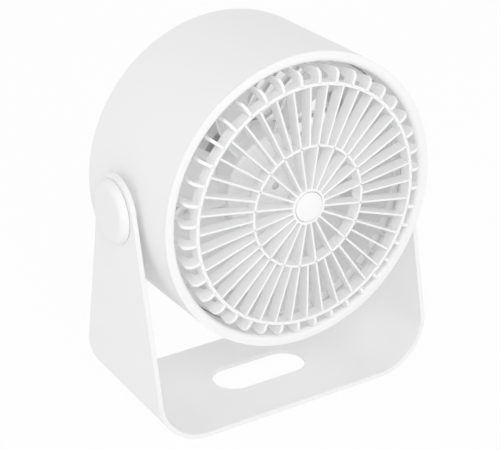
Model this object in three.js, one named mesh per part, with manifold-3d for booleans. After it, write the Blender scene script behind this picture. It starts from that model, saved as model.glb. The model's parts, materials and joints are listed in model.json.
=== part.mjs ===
// Desk fan: a short drum-shaped fan head that tilts between the two arms of a bent U-shaped stand.
// Units are millimetres, +Z is up, the air leaves towards -Y, and the origin is on the surface that
// the fan stands on, under the middle of its overall length. Each sub-part is drawn about the tilt
// axis or, in the stand, about the middle of the base.
import * as THREE from 'three';
import { mergeVertices } from 'three/addons/utils/BufferGeometryUtils.js';
import Module from 'manifold-3d';

const wasm = await Module();
wasm.setup();

// ---- Driving dimensions -------------------------------------------------------------------------

// Fits
const SEAT_GAP = 0.3; // between two pieces that seat on each other on a curved face
const RUN_GAP = 0.15; // on each side of a washer that the head turns against
const SHAFT_GAP = 0.05; // radial, shaft in bearing
const AIR_GAP = 0.9; // radial, stator to magnet

// Stand
const BASE_TO_PIVOT = 138.7; // underside of the base to the tilt axis
const PLATE = 3; // thickness of the bent plate
const BRACKET_SETBACK = 1.5; // seam of the head to the front of the stand
const BEND_RADIUS = 34; // outside of the bend between base and arm
const ARM_TOP_RADIUS = 22.5;
const ARM_GAP = 2.3; // arm to the side of the drum
const SLOT_LENGTH = 65.7;
const SLOT_WIDTH = 28.7;
const FOOT_RADIUS = 6;
const FOOT_HEIGHT = 1.8;
const FOOT_RECESS = 1; // depth of the pocket that holds a foot
const FOOT_X = 52;
const FOOT_Y = 34;

// Tilt pivots
const CAP_RADIUS = 19.2;
const CAP_THICKNESS = 5.2;
const CAP_EDGE = 4; // rounding of the cap's outer edge
const SCREW_HEAD_RADIUS = 5.5;
const SCREW_HEAD_HEIGHT = 2.6;
const SHOULDER_RADIUS = 4;
const PIVOT_THREAD_RADIUS = 2.5;
const PIVOT_THREAD_LENGTH = 8;
const WASHER_RADIUS = 12;
const WASHER = 1;
const BOSS_RADIUS = 13;
const BOSS_DEPTH = 10; // how far a pivot boss reaches inwards from its face

// Drum
const DRUM_RADIUS = 92; // at the back
const DRUM_DRAFT = 1.2; // how much its radius falls from the back to the seam
const DRUM_WALL = 2.2;
const FRONT_LENGTH = 47.8; // tilt axis to the seam between drum and bezel
const BACK_LENGTH = 45.5; // tilt axis to the back of the drum
const BACK_ROUND = 1.8; // rounding of the drum's back edge
const SEAM = 0.2;

// Bezel
const BEZEL_FACE = 6.4; // outer edge to mouth
const BEZEL_PROUD = 1.1; // crown of the face ahead of the seam
const BEZEL_FALL = 0.5; // from the crown down to the outer edge
const BEZEL_EDGE = 0.5; // rounding of the outer edge
const BEZEL_ROUND = 3; // rounding of the mouth
const BEZEL_COLLAR = 4; // depth of the collar that plugs into the drum
const BEZEL_SLEEVE = 18.8; // depth of the sleeve behind the seam
const BEZEL_WALL = 1.5;
const BEZEL_DRAFT = 0.7; // how much the sleeve narrows towards the back

// Front grille
const GRILLE_PROUD = 6.6; // front plane ahead of the seam
const BLADE_DEPTH = 8.5; // ribs, hoops and hub, front to back
const HOOP_WIDTH = 2.1;
const INNER_HOOP_RADIUS = 37.1;
const INNER_HOOP_WIDTH = 1.6;
const RIB_COUNT = 40;
const RIB_THICKNESS = 1.3;
const FIN_THICKNESS = 2;
const FIN_CLEARANCE = 2.1; // bezel's mouth to the outer edge of the fins
const FIN_REACH = 8.8; // outer hoop to the outer edge of the fins
const FIN_BEND = 5;
const FIN_LEG_WIDTH = 6; // behind the bend
const FIN_LEAN = 2; // how far the outer edge of a leg leans inwards
const BASE_RING_HEIGHT = 2.6;
const BASE_RING_WIDTH = 5.2;
const HUB_RADIUS = 11.2;
const BADGE_RADIUS = 9.1;
const BADGE_POCKET = 2.4;
const BADGE_DOME = 0.9;

// Duct around the impeller
const DUCT_INSET = 4.7; // end of the bezel's sleeve to the duct, radially
const DUCT_GAP = 0.4; // the same, along the axis
const DUCT_WALL = 1.6;
const DUCT_LENGTH = 46;

// Impeller
const IMPELLER_FRONT = 18.6; // tilt axis to the front face of the impeller's hub
const IMPELLER_HUB_RADIUS = 32.8;
const IMPELLER_HUB_LENGTH = 27;
const IMPELLER_WALL = 1.6;
const IMPELLER_FACE = 2;
const BLADE_COUNT = 7;
const TIP_GAP = 3; // blade tips to the duct
const BLADE_THICKNESS = 1.8;
const ROOT_CHORD = 31;
const TIP_CHORD = 54;
const ROOT_PITCH = -38; // degrees, negative to blow forwards with clockwise turns
const TIP_PITCH = -24;
const BLADE_SWEEP = -14; // degrees, root to tip
const BLADE_PHASE = 14; // degrees, where the impeller rests
const BLADE_CAMBER = 0.09; // share of the chord
const HUB_EDGE = 2; // rounding of the hub's front edge

// Motor
const YOKE_WALL = 1.4;
const YOKE_LENGTH = 19;
const MAGNET_THICKNESS = 3;
const MAGNET_LENGTH = 14;
const STATOR_LENGTH = 6;
const STATOR_POLES = 4;
const STATOR_CORE_RADIUS = 9;
const POLE_WIDTH = 6;
const COIL_THICKNESS = 2.5;
const SHOE_THICKNESS = 2; // pole shoes, radially
const COIL_CORNER = 1;
const SHAFT_RADIUS = 2;
const BEARING_WALL = 2.2;
const BEARING_COLLAR = 2; // collar's reach beyond the sleeve
const BEARING_COLLAR_THICKNESS = 1.5;
const BEARING_SETBACK = 1.5; // yoke to the front end of the sleeve
const CLIP_THICKNESS = 0.8;
const CLIP_WIDTH = 1.7;
const SHAFT_PROUD = 3; // shaft beyond the back of the sleeve
const SHAFT_SINK = 0.6; // shaft end below the face of the impeller's hub
const MOTOR_PLATE = 1.2;
const MOTOR_PLATE_INSET = 5; // edge of the pod to the edge of the plate
const MOTOR_SCREWS = 3;
const MOTOR_SCREW_INSET = 4.6; // plate's edge to a screw's axis

// Rear cover, whose central pod carries the motor in front and the controls behind
const REAR_FACE = 4; // thickness of the slotted face
const REAR_RIM_DEPTH = 6;
const REAR_RING_COUNT = 1; // rings between the pod and the rim
const REAR_RING_WIDTH = 2.4;
const REAR_SPOKES = 36;
const SPOKE_THICKNESS = 2.4;
const POD_INSET = 1.8; // impeller's hub to the pod behind it, radially
const POD_WALL = 2;
const POD_LENGTH = 26.5;
const COVER_SCREWS = 4;
const COVER_SCREW_INSET = 5.3; // inside of the drum to a screw's axis
const SCREW_BOSS_RADIUS = 4.6;
const SCREW_BOSS_LENGTH = 14;

// Controls
const LID_THICKNESS = 2;
const BUTTON_RADIUS = 5.5;
const BUTTON_PROUD = 1.6;
const BUTTON_TRAVEL = 1.2;
const BUTTON_GAP = 0.35; // radial, button in its hole
const BUTTON_FLANGE = 1.2;
const BUTTON_LIP = 1.5; // how far the flange reaches beyond the button
const BUTTON_ROUND = 0.8;
const BUTTON_HEIGHT = 9; // above the middle of the lid
const BOARD_THICKNESS = 1.6;
const BOARD_WIDTH = 30;
const BOARD_HEIGHT = 38;
const SWITCH_SIZE = 6;
const SWITCH_HEIGHT = 3;
const SOCKET_WIDTH = 8.9;
const SOCKET_HEIGHT = 3.3;
const SOCKET_WALL = 0.35;
const SOCKET_FLOOR = 1;
const POST_RADIUS = 2.2;
const POST_X = 11;
const POST_Z = 15;

// Small self-tapping screws
const SMALL_HEAD_RADIUS = 2.8;
const SMALL_HEAD_HEIGHT = 1.6;
const SMALL_HEAD_TOP_RADIUS = 2;
const SMALL_HEAD_SIDE = 1; // straight part of the head's rim
const SMALL_THREAD_RADIUS = 1.3;
const COVER_SCREW_LENGTH = 10;
const MOTOR_SCREW_BITE = 1; // thread beyond the wall that it holds to
const HEAD_REST = 0.15; // under a screw head

// How finely round shapes are divided
const DRUM_SEGMENTS = 64;
const HOOP_SEGMENTS = 2 * RIB_COUNT;
const PART_SEGMENTS = 40;
const MOTOR_SEGMENTS = 30;
const WASHER_SEGMENTS = 20;
const SCREW_SEGMENTS = 10;

// ---- Sizes that follow from them ----------------------------------------------------------------

const FOOT_PROUD = FOOT_HEIGHT - FOOT_RECESS;
const PIVOT_HEIGHT = FOOT_PROUD + BASE_TO_PIVOT;
const BRACKET_DEPTH = 2 * (FRONT_LENGTH - BRACKET_SETBACK);
const ARM_INSIDE = DRUM_RADIUS + ARM_GAP;
const ARM_OUTSIDE = ARM_INSIDE + PLATE;
const BOSS_FACE = ARM_INSIDE - WASHER - 2 * RUN_GAP;
const DRUM_INSIDE = DRUM_RADIUS - DRUM_WALL;
const BEZEL_RADIUS = DRUM_RADIUS - DRUM_DRAFT;
const COLLAR_RADIUS = BEZEL_RADIUS - DRUM_WALL - SEAT_GAP;
const BEZEL_OPENING = BEZEL_RADIUS - BEZEL_FACE;
const SEAM_Y = -FRONT_LENGTH;
const BACK_Y = BACK_LENGTH;
const GRILLE_FRONT_Y = SEAM_Y - GRILLE_PROUD;
const GRILLE_BACK_Y = GRILLE_FRONT_Y + BLADE_DEPTH;
const SLEEVE_END_Y = SEAM_Y + BEZEL_SLEEVE;
const SLEEVE_END_RADIUS = BEZEL_OPENING - BEZEL_DRAFT;
const FIN_RADIUS = BEZEL_OPENING - FIN_CLEARANCE;
const HOOP_RADIUS = FIN_RADIUS - FIN_REACH;
const BASE_RING_Y = SLEEVE_END_Y - BASE_RING_HEIGHT;
const BASE_RING_RADIUS = SLEEVE_END_RADIUS - SEAT_GAP;
const BASE_RING_INSIDE = BASE_RING_RADIUS - BASE_RING_WIDTH;
const DUCT_Y = SLEEVE_END_Y + DUCT_GAP;
const DUCT_RADIUS = SLEEVE_END_RADIUS - DUCT_INSET;
const TIP_RADIUS = DUCT_RADIUS - TIP_GAP;
const HUB_FRONT_Y = -IMPELLER_FRONT;
const HUB_BACK_Y = HUB_FRONT_Y + IMPELLER_HUB_LENGTH;
const YOKE_RADIUS = IMPELLER_HUB_RADIUS - IMPELLER_WALL - SEAT_GAP;
const YOKE_FRONT_Y = HUB_FRONT_Y + IMPELLER_FACE + SEAT_GAP;
const MAGNET_RADIUS = YOKE_RADIUS - YOKE_WALL - SEAT_GAP;
const MAGNET_FRONT_Y = YOKE_FRONT_Y + YOKE_WALL + SEAT_GAP;
const STATOR_RADIUS = MAGNET_RADIUS - MAGNET_THICKNESS - AIR_GAP;
const STATOR_MIDDLE_Y = MAGNET_FRONT_Y + MAGNET_LENGTH / 2;
const BEARING_RADIUS = SHAFT_RADIUS + SHAFT_GAP + BEARING_WALL;
const COVER_SCREW_CIRCLE = DRUM_INSIDE - COVER_SCREW_INSET;
const POD_RADIUS = IMPELLER_HUB_RADIUS - POD_INSET;
const MOTOR_PLATE_RADIUS = POD_RADIUS - MOTOR_PLATE_INSET;
const POD_FRONT_Y = BACK_Y - POD_LENGTH;
const PLATE_Y = POD_FRONT_Y - MOTOR_PLATE;
const BEARING_FRONT_Y = YOKE_FRONT_Y + YOKE_WALL + BEARING_SETBACK;
const SCREW_BORE = SMALL_THREAD_RADIUS + SEAT_GAP;
const LID_RADIUS = POD_RADIUS - POD_WALL - SEAT_GAP;
const LID_FRONT_Y = BACK_Y - LID_THICKNESS;
const BUTTON_BACK_Y = LID_FRONT_Y - BUTTON_FLANGE - SEAT_GAP;
const SWITCH_TIP_Y = BUTTON_BACK_Y - BUTTON_TRAVEL - SEAT_GAP;
const BOARD_BACK_Y = SWITCH_TIP_Y - SWITCH_HEIGHT;
const REACH_FORWARD = BADGE_DOME - GRILLE_FRONT_Y;
const REACH_BACK = BACK_Y + BUTTON_PROUD;
const MIDDLE_Y = (REACH_FORWARD - REACH_BACK) / 2; // the tilt axis lies this far behind the origin

// ---- Geometry helpers ---------------------------------------------------------------------------

// Keeps positions only, joins shared corners and drops faces that have closed up to a line.
function cleanGeometry(source) {
  const loose = source.clone();
  for (const name of Object.keys(loose.attributes)) {
    if (name !== 'position') loose.deleteAttribute(name);
  }
  const merged = mergeVertices(loose, 1e-5);
  const index = merged.getIndex().array;
  const kept = [];
  for (let i = 0; i < index.length; i += 3) {
    const [a, b, c] = [index[i], index[i + 1], index[i + 2]];
    if (a !== b && b !== c && c !== a) kept.push(a, b, c);
  }
  merged.setIndex(kept);
  return merged;
}

function toSolid(source) {
  const geometry = cleanGeometry(source);
  return new wasm.Manifold(new wasm.Mesh({
    numProp: 3,
    vertProperties: Float32Array.from(geometry.getAttribute('position').array),
    triVerts: Uint32Array.from(geometry.getIndex().array),
  }));
}

function toGeometry(solid) {
  const mesh = solid.getMesh();
  const geometry = new THREE.BufferGeometry();
  geometry.setAttribute('position', new THREE.BufferAttribute(mesh.vertProperties, 3));
  geometry.setIndex(new THREE.BufferAttribute(mesh.triVerts, 1));
  return geometry;
}

function join(pieces) {
  return toGeometry(pieces.map(toSolid).reduce((all, piece) => all.add(piece)));
}

function cut(body, tools) {
  return toGeometry(tools.map(toSolid).reduce((left, tool) => left.subtract(tool), toSolid(body)));
}

function common(first, second) {
  return toGeometry(toSolid(first).intersect(toSolid(second)));
}

// Turns a closed profile of [radius, y] points about the Y axis.
function turned(points, segments) {
  let area = 0;
  points.forEach(([r, y], i) => {
    const [nextR, nextY] = points[(i + 1) % points.length];
    area += r * nextY - nextR * y;
  });
  const ordered = area > 0 ? [...points] : [...points].reverse();
  const profile = [...ordered, ordered[0]].map(([r, y]) => new THREE.Vector2(r, y));
  return cleanGeometry(new THREE.LatheGeometry(profile, segments));
}

// A ring of rectangular section.
function band(inner, outer, y0, y1, segments) {
  return turned([[inner, y0], [outer, y0], [outer, y1], [inner, y1]], segments);
}

// Points on an arc, from one angle to another in degrees.
function arc(centreR, centreY, radius, from, to, steps) {
  const points = [];
  for (let i = 0; i <= steps; i += 1) {
    const angle = THREE.MathUtils.degToRad(from + ((to - from) * i) / steps);
    points.push([centreR + radius * Math.cos(angle), centreY + radius * Math.sin(angle)]);
  }
  return points;
}

function shapeOf(points) {
  return new THREE.Shape(points.map(([u, v]) => new THREE.Vector2(u, v)));
}

const ALONG_Y = new THREE.Matrix4().makeBasis(
  new THREE.Vector3(1, 0, 0), new THREE.Vector3(0, 0, 1), new THREE.Vector3(0, -1, 0));
const ALONG_X = new THREE.Matrix4().makeBasis(
  new THREE.Vector3(0, 1, 0), new THREE.Vector3(0, 0, 1), new THREE.Vector3(1, 0, 0));

// An outline drawn in X and Z, from y0 to y1.
function extrudedAlongY(shape, y0, y1, curveSegments = 6) {
  const geometry = new THREE.ExtrudeGeometry(shape, { depth: y1 - y0, bevelEnabled: false, curveSegments });
  return cleanGeometry(geometry.applyMatrix4(ALONG_Y).translate(0, y1, 0));
}

// An outline drawn in Y and Z, from x0 to x1.
function extrudedAlongX(shape, x0, x1) {
  const geometry = new THREE.ExtrudeGeometry(shape, { depth: x1 - x0, bevelEnabled: false });
  return cleanGeometry(geometry.applyMatrix4(ALONG_X).translate(x0, 0, 0));
}

// An outline drawn in X and Y, from z0 to z1.
function extrudedAlongZ(shape, z0, z1, curveSegments = 10) {
  const geometry = new THREE.ExtrudeGeometry(shape, { depth: z1 - z0, bevelEnabled: false, curveSegments });
  return cleanGeometry(geometry.translate(0, 0, z0));
}

// A cylinder along Y, centred on the origin.
function rod(radius, length, segments) {
  return new THREE.CylinderGeometry(radius, radius, length, segments);
}

function block(width, depth, height, x = 0, y = 0, z = 0) {
  return cleanGeometry(new THREE.BoxGeometry(width, depth, height).translate(x, y, z));
}

function stadium(length, width) {
  const shape = new THREE.Shape();
  const half = (length - width) / 2;
  shape.moveTo(-half, -width / 2);
  shape.lineTo(half, -width / 2);
  shape.absarc(half, 0, width / 2, -Math.PI / 2, Math.PI / 2, false);
  shape.lineTo(-half, width / 2);
  shape.absarc(-half, 0, width / 2, Math.PI / 2, (3 * Math.PI) / 2, false);
  return shape;
}

// A blade that stands on a radius of the Y axis, drawn as [radius, y] points and turned to an angle
// measured from +X towards +Z.
function radialPlate(points, thickness, degrees) {
  const geometry = new THREE.ExtrudeGeometry(shapeOf(points), { depth: thickness, bevelEnabled: false });
  geometry.translate(0, 0, -thickness / 2);
  return cleanGeometry(geometry.rotateY(-THREE.MathUtils.degToRad(degrees)));
}

// A place on a circle about the Y axis.
function polar(radius, degrees) {
  const angle = THREE.MathUtils.degToRad(degrees);
  return [radius * Math.cos(angle), radius * Math.sin(angle)];
}

function finish(colour, roughness, metalness) {
  return { color: colour, roughness, metalness };
}

const MATT_WHITE = finish(0xececec, 0.55, 0);
const GLOSS_WHITE = finish(0xf4f4f4, 0.25, 0);
const STAND_WHITE = finish(0xe9e9e9, 0.45, 0);
const RUBBER = finish(0xb8b8b8, 0.85, 0);
const STEEL = finish(0xb4b6ba, 0.35, 1);
const DARK_STEEL = finish(0x5a5c60, 0.5, 1);
const COPPER = finish(0xb06a3a, 0.35, 1);
const BRASS = finish(0xc8a35a, 0.35, 1);
const FERRITE = finish(0x2c2c2e, 0.7, 0);
const BOARD_GREEN = finish(0x2f6b45, 0.5, 0);
const BLACK = finish(0x1e1e20, 0.5, 0);
const NYLON = finish(0xdadada, 0.5, 0);

function part(name, geometry, look, x = 0, y = 0, z = 0) {
  const mesh = new THREE.Mesh(geometry, new THREE.MeshStandardMaterial(look));
  mesh.name = name;
  mesh.position.set(x, y, z);
  return mesh;
}

// ---- Stand --------------------------------------------------------------------------------------

// The U seen from the front: outside and inside follow the same bend centres.
function bracketProfile() {
  const centreX = ARM_OUTSIDE - BEND_RADIUS;
  const centreZ = BEND_RADIUS;
  const top = BASE_TO_PIVOT + ARM_TOP_RADIUS;
  const steps = 10;
  const outside = arc(centreX, centreZ, BEND_RADIUS, -90, 0, steps);
  const inside = arc(centreX, centreZ, BEND_RADIUS - PLATE, 0, -90, steps);
  const right = [...outside, [ARM_OUTSIDE, top], [ARM_INSIDE, top], ...inside];
  const left = [...right].reverse().map(([x, z]) => [-x, z]);
  return shapeOf([...right, ...left]);
}

// An arm seen from the side: full depth to the top of the bend, then straight to a round top.
function armOutline() {
  const half = BRACKET_DEPTH / 2;
  const rise = BASE_TO_PIVOT - BEND_RADIUS;
  const reach = Math.hypot(half, rise);
  const lean = Math.atan2(half, rise) - Math.asin(ARM_TOP_RADIUS / reach);
  const start = THREE.MathUtils.radToDeg(lean);
  const topArc = arc(0, BASE_TO_PIVOT, ARM_TOP_RADIUS, start, 180 - start, 14);
  return shapeOf([[-half, 0], [half, 0], [half, BEND_RADIUS], ...topArc, [-half, BEND_RADIUS]]);
}

function bracket() {
  const depth = BRACKET_DEPTH / 2;
  const bent = extrudedAlongY(bracketProfile(), -depth, depth);
  const sides = extrudedAlongX(armOutline(), -ARM_OUTSIDE, ARM_OUTSIDE);
  const tools = [extrudedAlongZ(stadium(SLOT_LENGTH, SLOT_WIDTH), -PLATE, 2 * PLATE)];
  const bore = rod(SHOULDER_RADIUS + SEAT_GAP, 2 * ARM_OUTSIDE + PLATE, WASHER_SEGMENTS);
  tools.push(bore.rotateZ(Math.PI / 2).translate(0, 0, BASE_TO_PIVOT));
  for (const x of [-FOOT_X, FOOT_X]) {
    for (const y of [-FOOT_Y, FOOT_Y]) {
      const pocket = rod(FOOT_RADIUS + SEAT_GAP, 2 * FOOT_RECESS, WASHER_SEGMENTS);
      tools.push(pocket.rotateX(Math.PI / 2).translate(x, y, 0));
    }
  }
  return cut(common(bent, sides), tools);
}

function foot() {
  const disc = rod(FOOT_RADIUS, FOOT_HEIGHT, WASHER_SEGMENTS);
  return cleanGeometry(disc.rotateX(Math.PI / 2).translate(0, 0, FOOT_HEIGHT / 2));
}

// A flat ring between the arm and the pivot boss, drawn on the X axis.
function frictionWasher() {
  const ring = band(SHOULDER_RADIUS + SEAT_GAP, WASHER_RADIUS, 0, WASHER, WASHER_SEGMENTS);
  return cleanGeometry(ring.rotateZ(-Math.PI / 2));
}

function makeStand() {
  const stand = new THREE.Group();
  stand.add(part('stand_bracket', bracket(), STAND_WHITE, 0, 0, FOOT_PROUD));
  for (const [side, x] of [['left', -FOOT_X], ['right', FOOT_X]]) {
    for (const [end, y] of [['front', -FOOT_Y], ['rear', FOOT_Y]]) {
      stand.add(part(`foot_${end}_${side}`, foot(), RUBBER, x, y, 0));
    }
  }
  for (const [side, turn] of [['right', 0], ['left', Math.PI]]) {
    const mount = new THREE.Group();
    mount.position.z = PIVOT_HEIGHT;
    mount.rotation.z = turn;
    mount.add(part(`friction_washer_${side}`, frictionWasher(), NYLON, BOSS_FACE + RUN_GAP, 0, 0));
    stand.add(mount);
  }
  return stand;
}

// ---- Pivot screws and caps ----------------------------------------------------------------------

// Shoulder screw on the X axis: its head bears on the arm, its thread ends in the pivot boss.
function pivotScrew() {
  const headEnd = ARM_OUTSIDE + SEAT_GAP + SCREW_HEAD_HEIGHT;
  const screw = turned([
    [0, BOSS_FACE - PIVOT_THREAD_LENGTH],
    [PIVOT_THREAD_RADIUS, BOSS_FACE - PIVOT_THREAD_LENGTH],
    [PIVOT_THREAD_RADIUS, BOSS_FACE + RUN_GAP],
    [SHOULDER_RADIUS, BOSS_FACE + RUN_GAP],
    [SHOULDER_RADIUS, ARM_OUTSIDE + SEAT_GAP],
    [SCREW_HEAD_RADIUS, ARM_OUTSIDE + SEAT_GAP],
    [SCREW_HEAD_RADIUS, headEnd],
    [0, headEnd],
  ], WASHER_SEGMENTS);
  return cleanGeometry(screw.rotateZ(-Math.PI / 2));
}

// Round cover that clips over the screw head, with a rounded rim and a hollow back.
function pivotCap() {
  const innerFace = ARM_OUTSIDE + SEAT_GAP;
  const outerFace = ARM_OUTSIDE + CAP_THICKNESS;
  const hollow = SCREW_HEAD_RADIUS + SEAT_GAP;
  const hollowEnd = innerFace + SCREW_HEAD_HEIGHT + SEAT_GAP;
  const cap = turned([
    [0, hollowEnd],
    [hollow, hollowEnd],
    [hollow, innerFace],
    [CAP_RADIUS, innerFace],
    ...arc(CAP_RADIUS - CAP_EDGE, outerFace - CAP_EDGE, CAP_EDGE, 0, 90, 4),
    [0, outerFace],
  ], PART_SEGMENTS);
  return cleanGeometry(cap.rotateZ(-Math.PI / 2));
}

function addPivots(head) {
  for (const [side, turn] of [['right', 0], ['left', Math.PI]]) {
    const mount = new THREE.Group();
    mount.rotation.z = turn;
    mount.add(part(`pivot_screw_${side}`, pivotScrew(), STEEL));
    mount.add(part(`pivot_cap_${side}`, pivotCap(), MATT_WHITE));
    head.add(mount);
  }
}

// ---- Drum and bezel -----------------------------------------------------------------------------

function drumShell() {
  const front = SEAM_Y + SEAM / 2;
  return turned([
    [BEZEL_RADIUS - DRUM_WALL, front],
    [BEZEL_RADIUS, front],
    ...arc(DRUM_RADIUS - BACK_ROUND, BACK_Y - BACK_ROUND, BACK_ROUND, 0, 90, 3),
    [DRUM_INSIDE, BACK_Y],
    [DRUM_INSIDE, BACK_Y - REAR_RIM_DEPTH],
  ], DRUM_SEGMENTS);
}

function coverScrewAngle(i) {
  return 45 + (360 / COVER_SCREWS) * i;
}

// A boss for a cover screw, reaching out to the drum wall behind the duct.
function coverScrewBoss(i) {
  const end = BACK_Y - REAR_RIM_DEPTH - SEAT_GAP;
  const reach = DRUM_INSIDE + DRUM_WALL / 2 - COVER_SCREW_CIRCLE;
  const web = block(reach, SCREW_BOSS_LENGTH, SCREW_BOSS_RADIUS, COVER_SCREW_CIRCLE + reach / 2);
  const post = rod(SCREW_BOSS_RADIUS, SCREW_BOSS_LENGTH, WASHER_SEGMENTS);
  const boss = join([web, post.translate(COVER_SCREW_CIRCLE, 0, 0)]);
  boss.translate(0, end - SCREW_BOSS_LENGTH / 2, 0);
  return boss.rotateY(-THREE.MathUtils.degToRad(coverScrewAngle(i)));
}

function coverScrewHole(i) {
  const [x, z] = polar(COVER_SCREW_CIRCLE, coverScrewAngle(i));
  return rod(SCREW_BORE, 2 * COVER_SCREW_LENGTH, SCREW_SEGMENTS).translate(x, BACK_Y - REAR_RIM_DEPTH, z);
}

// The drum wall with its two pivot bosses and the bosses for the cover screws.
function drumHousing() {
  const pieces = [drumShell()];
  const holes = [];
  for (const side of [1, -1]) {
    const boss = rod(BOSS_RADIUS, BOSS_DEPTH, WASHER_SEGMENTS);
    const middle = side * (BOSS_FACE - BOSS_DEPTH / 2);
    pieces.push(boss.rotateZ(Math.PI / 2).translate(middle, 0, 0));
    const hole = rod(PIVOT_THREAD_RADIUS + SEAT_GAP, 2 * (PIVOT_THREAD_LENGTH + SEAT_GAP), WASHER_SEGMENTS);
    holes.push(hole.rotateZ(Math.PI / 2).translate(side * BOSS_FACE, 0, 0));
  }
  for (let i = 0; i < COVER_SCREWS; i += 1) {
    pieces.push(coverScrewBoss(i));
    holes.push(coverScrewHole(i));
  }
  return cut(join(pieces), holes);
}

// Glossy crowned ring, a collar that plugs into the drum and a sleeve that holds the grille.
function bezel() {
  const back = SEAM_Y - SEAM / 2;
  const crown = SEAM_Y - BEZEL_PROUD;
  return turned([
    [BEZEL_RADIUS, back],
    ...arc(BEZEL_RADIUS - BEZEL_EDGE, crown + BEZEL_FALL + BEZEL_EDGE, BEZEL_EDGE, 0, -90, 2),
    ...arc(BEZEL_OPENING + BEZEL_ROUND, crown + BEZEL_ROUND, BEZEL_ROUND, -90, -180, 4),
    [SLEEVE_END_RADIUS, SLEEVE_END_Y],
    [SLEEVE_END_RADIUS + BEZEL_WALL, SLEEVE_END_Y],
    [BEZEL_OPENING + BEZEL_WALL, back + BEZEL_COLLAR],
    [COLLAR_RADIUS, back + BEZEL_COLLAR],
    [COLLAR_RADIUS, back],
  ], DRUM_SEGMENTS);
}

// ---- Front grille -------------------------------------------------------------------------------

// A fin leaves the outer hoop, turns back in a round bend and runs to the base ring.
function finOutline() {
  const bendR = FIN_RADIUS - FIN_BEND;
  const bendY = GRILLE_FRONT_Y + FIN_BEND;
  const end = BASE_RING_Y + BASE_RING_HEIGHT / 2;
  return [
    [HOOP_RADIUS, GRILLE_BACK_Y],
    [HOOP_RADIUS, GRILLE_FRONT_Y],
    ...arc(bendR, bendY, FIN_BEND, -90, 0, 4),
    [FIN_RADIUS - FIN_LEAN, end],
    [BASE_RING_INSIDE, end],
    [FIN_RADIUS - FIN_LEG_WIDTH, GRILLE_BACK_Y],
  ];
}

function ribOutline(from, to) {
  return [[from, GRILLE_FRONT_Y], [to, GRILLE_FRONT_Y], [to, GRILLE_BACK_Y], [from, GRILLE_BACK_Y]];
}

function frontGrille() {
  const hubWall = HUB_RADIUS - BADGE_RADIUS - SEAT_GAP;
  const pieces = [
    band(HOOP_RADIUS - HOOP_WIDTH / 2, HOOP_RADIUS + HOOP_WIDTH / 2,
      GRILLE_FRONT_Y, GRILLE_BACK_Y, HOOP_SEGMENTS),
    band(INNER_HOOP_RADIUS - INNER_HOOP_WIDTH / 2, INNER_HOOP_RADIUS + INNER_HOOP_WIDTH / 2,
      GRILLE_FRONT_Y, GRILLE_BACK_Y, RIB_COUNT),
    band(BASE_RING_INSIDE, BASE_RING_RADIUS, BASE_RING_Y, SLEEVE_END_Y, RIB_COUNT),
    turned([
      [0, GRILLE_FRONT_Y + BADGE_POCKET],
      [BADGE_RADIUS + SEAT_GAP, GRILLE_FRONT_Y + BADGE_POCKET],
      [BADGE_RADIUS + SEAT_GAP, GRILLE_FRONT_Y],
      [HUB_RADIUS, GRILLE_FRONT_Y],
      [HUB_RADIUS, GRILLE_BACK_Y],
      [0, GRILLE_BACK_Y],
    ], PART_SEGMENTS),
  ];
  const pitch = 360 / RIB_COUNT;
  for (let i = 0; i < RIB_COUNT; i += 1) {
    const start = i % 2 === 0 ? INNER_HOOP_RADIUS : HUB_RADIUS - hubWall / 2;
    pieces.push(radialPlate(ribOutline(start, HOOP_RADIUS), RIB_THICKNESS, i * pitch));
    pieces.push(radialPlate(finOutline(), FIN_THICKNESS, (i + 0.5) * pitch));
  }
  return join(pieces);
}

// Plain domed disc that closes the middle of the grille.
function badge() {
  const back = GRILLE_FRONT_Y + BADGE_POCKET - SEAT_GAP;
  const rim = GRILLE_FRONT_Y;
  const dome = [];
  const steps = 4;
  for (let i = 0; i <= steps; i += 1) {
    const share = i / steps;
    dome.push([BADGE_RADIUS * (1 - share), rim - BADGE_DOME * (1 - (1 - share) ** 2)]);
  }
  return turned([[0, back], [BADGE_RADIUS, back], ...dome], PART_SEGMENTS);
}

// ---- Duct and rear cover ------------------------------------------------------------------------

// Tube around the blade tips, with a flange that centres it in the drum.
function duct() {
  const end = DUCT_Y + DUCT_LENGTH;
  const outside = DUCT_RADIUS + DUCT_WALL;
  return turned([
    [DUCT_RADIUS, DUCT_Y],
    [COLLAR_RADIUS, DUCT_Y],
    [COLLAR_RADIUS, DUCT_Y + DUCT_WALL],
    [outside, DUCT_Y + DUCT_WALL],
    [outside, end],
    [DUCT_RADIUS, end],
  ], PART_SEGMENTS);
}

function motorScrewPlace(i) {
  return polar(MOTOR_PLATE_RADIUS - MOTOR_SCREW_INSET, 90 + (360 / MOTOR_SCREWS) * i);
}

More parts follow.
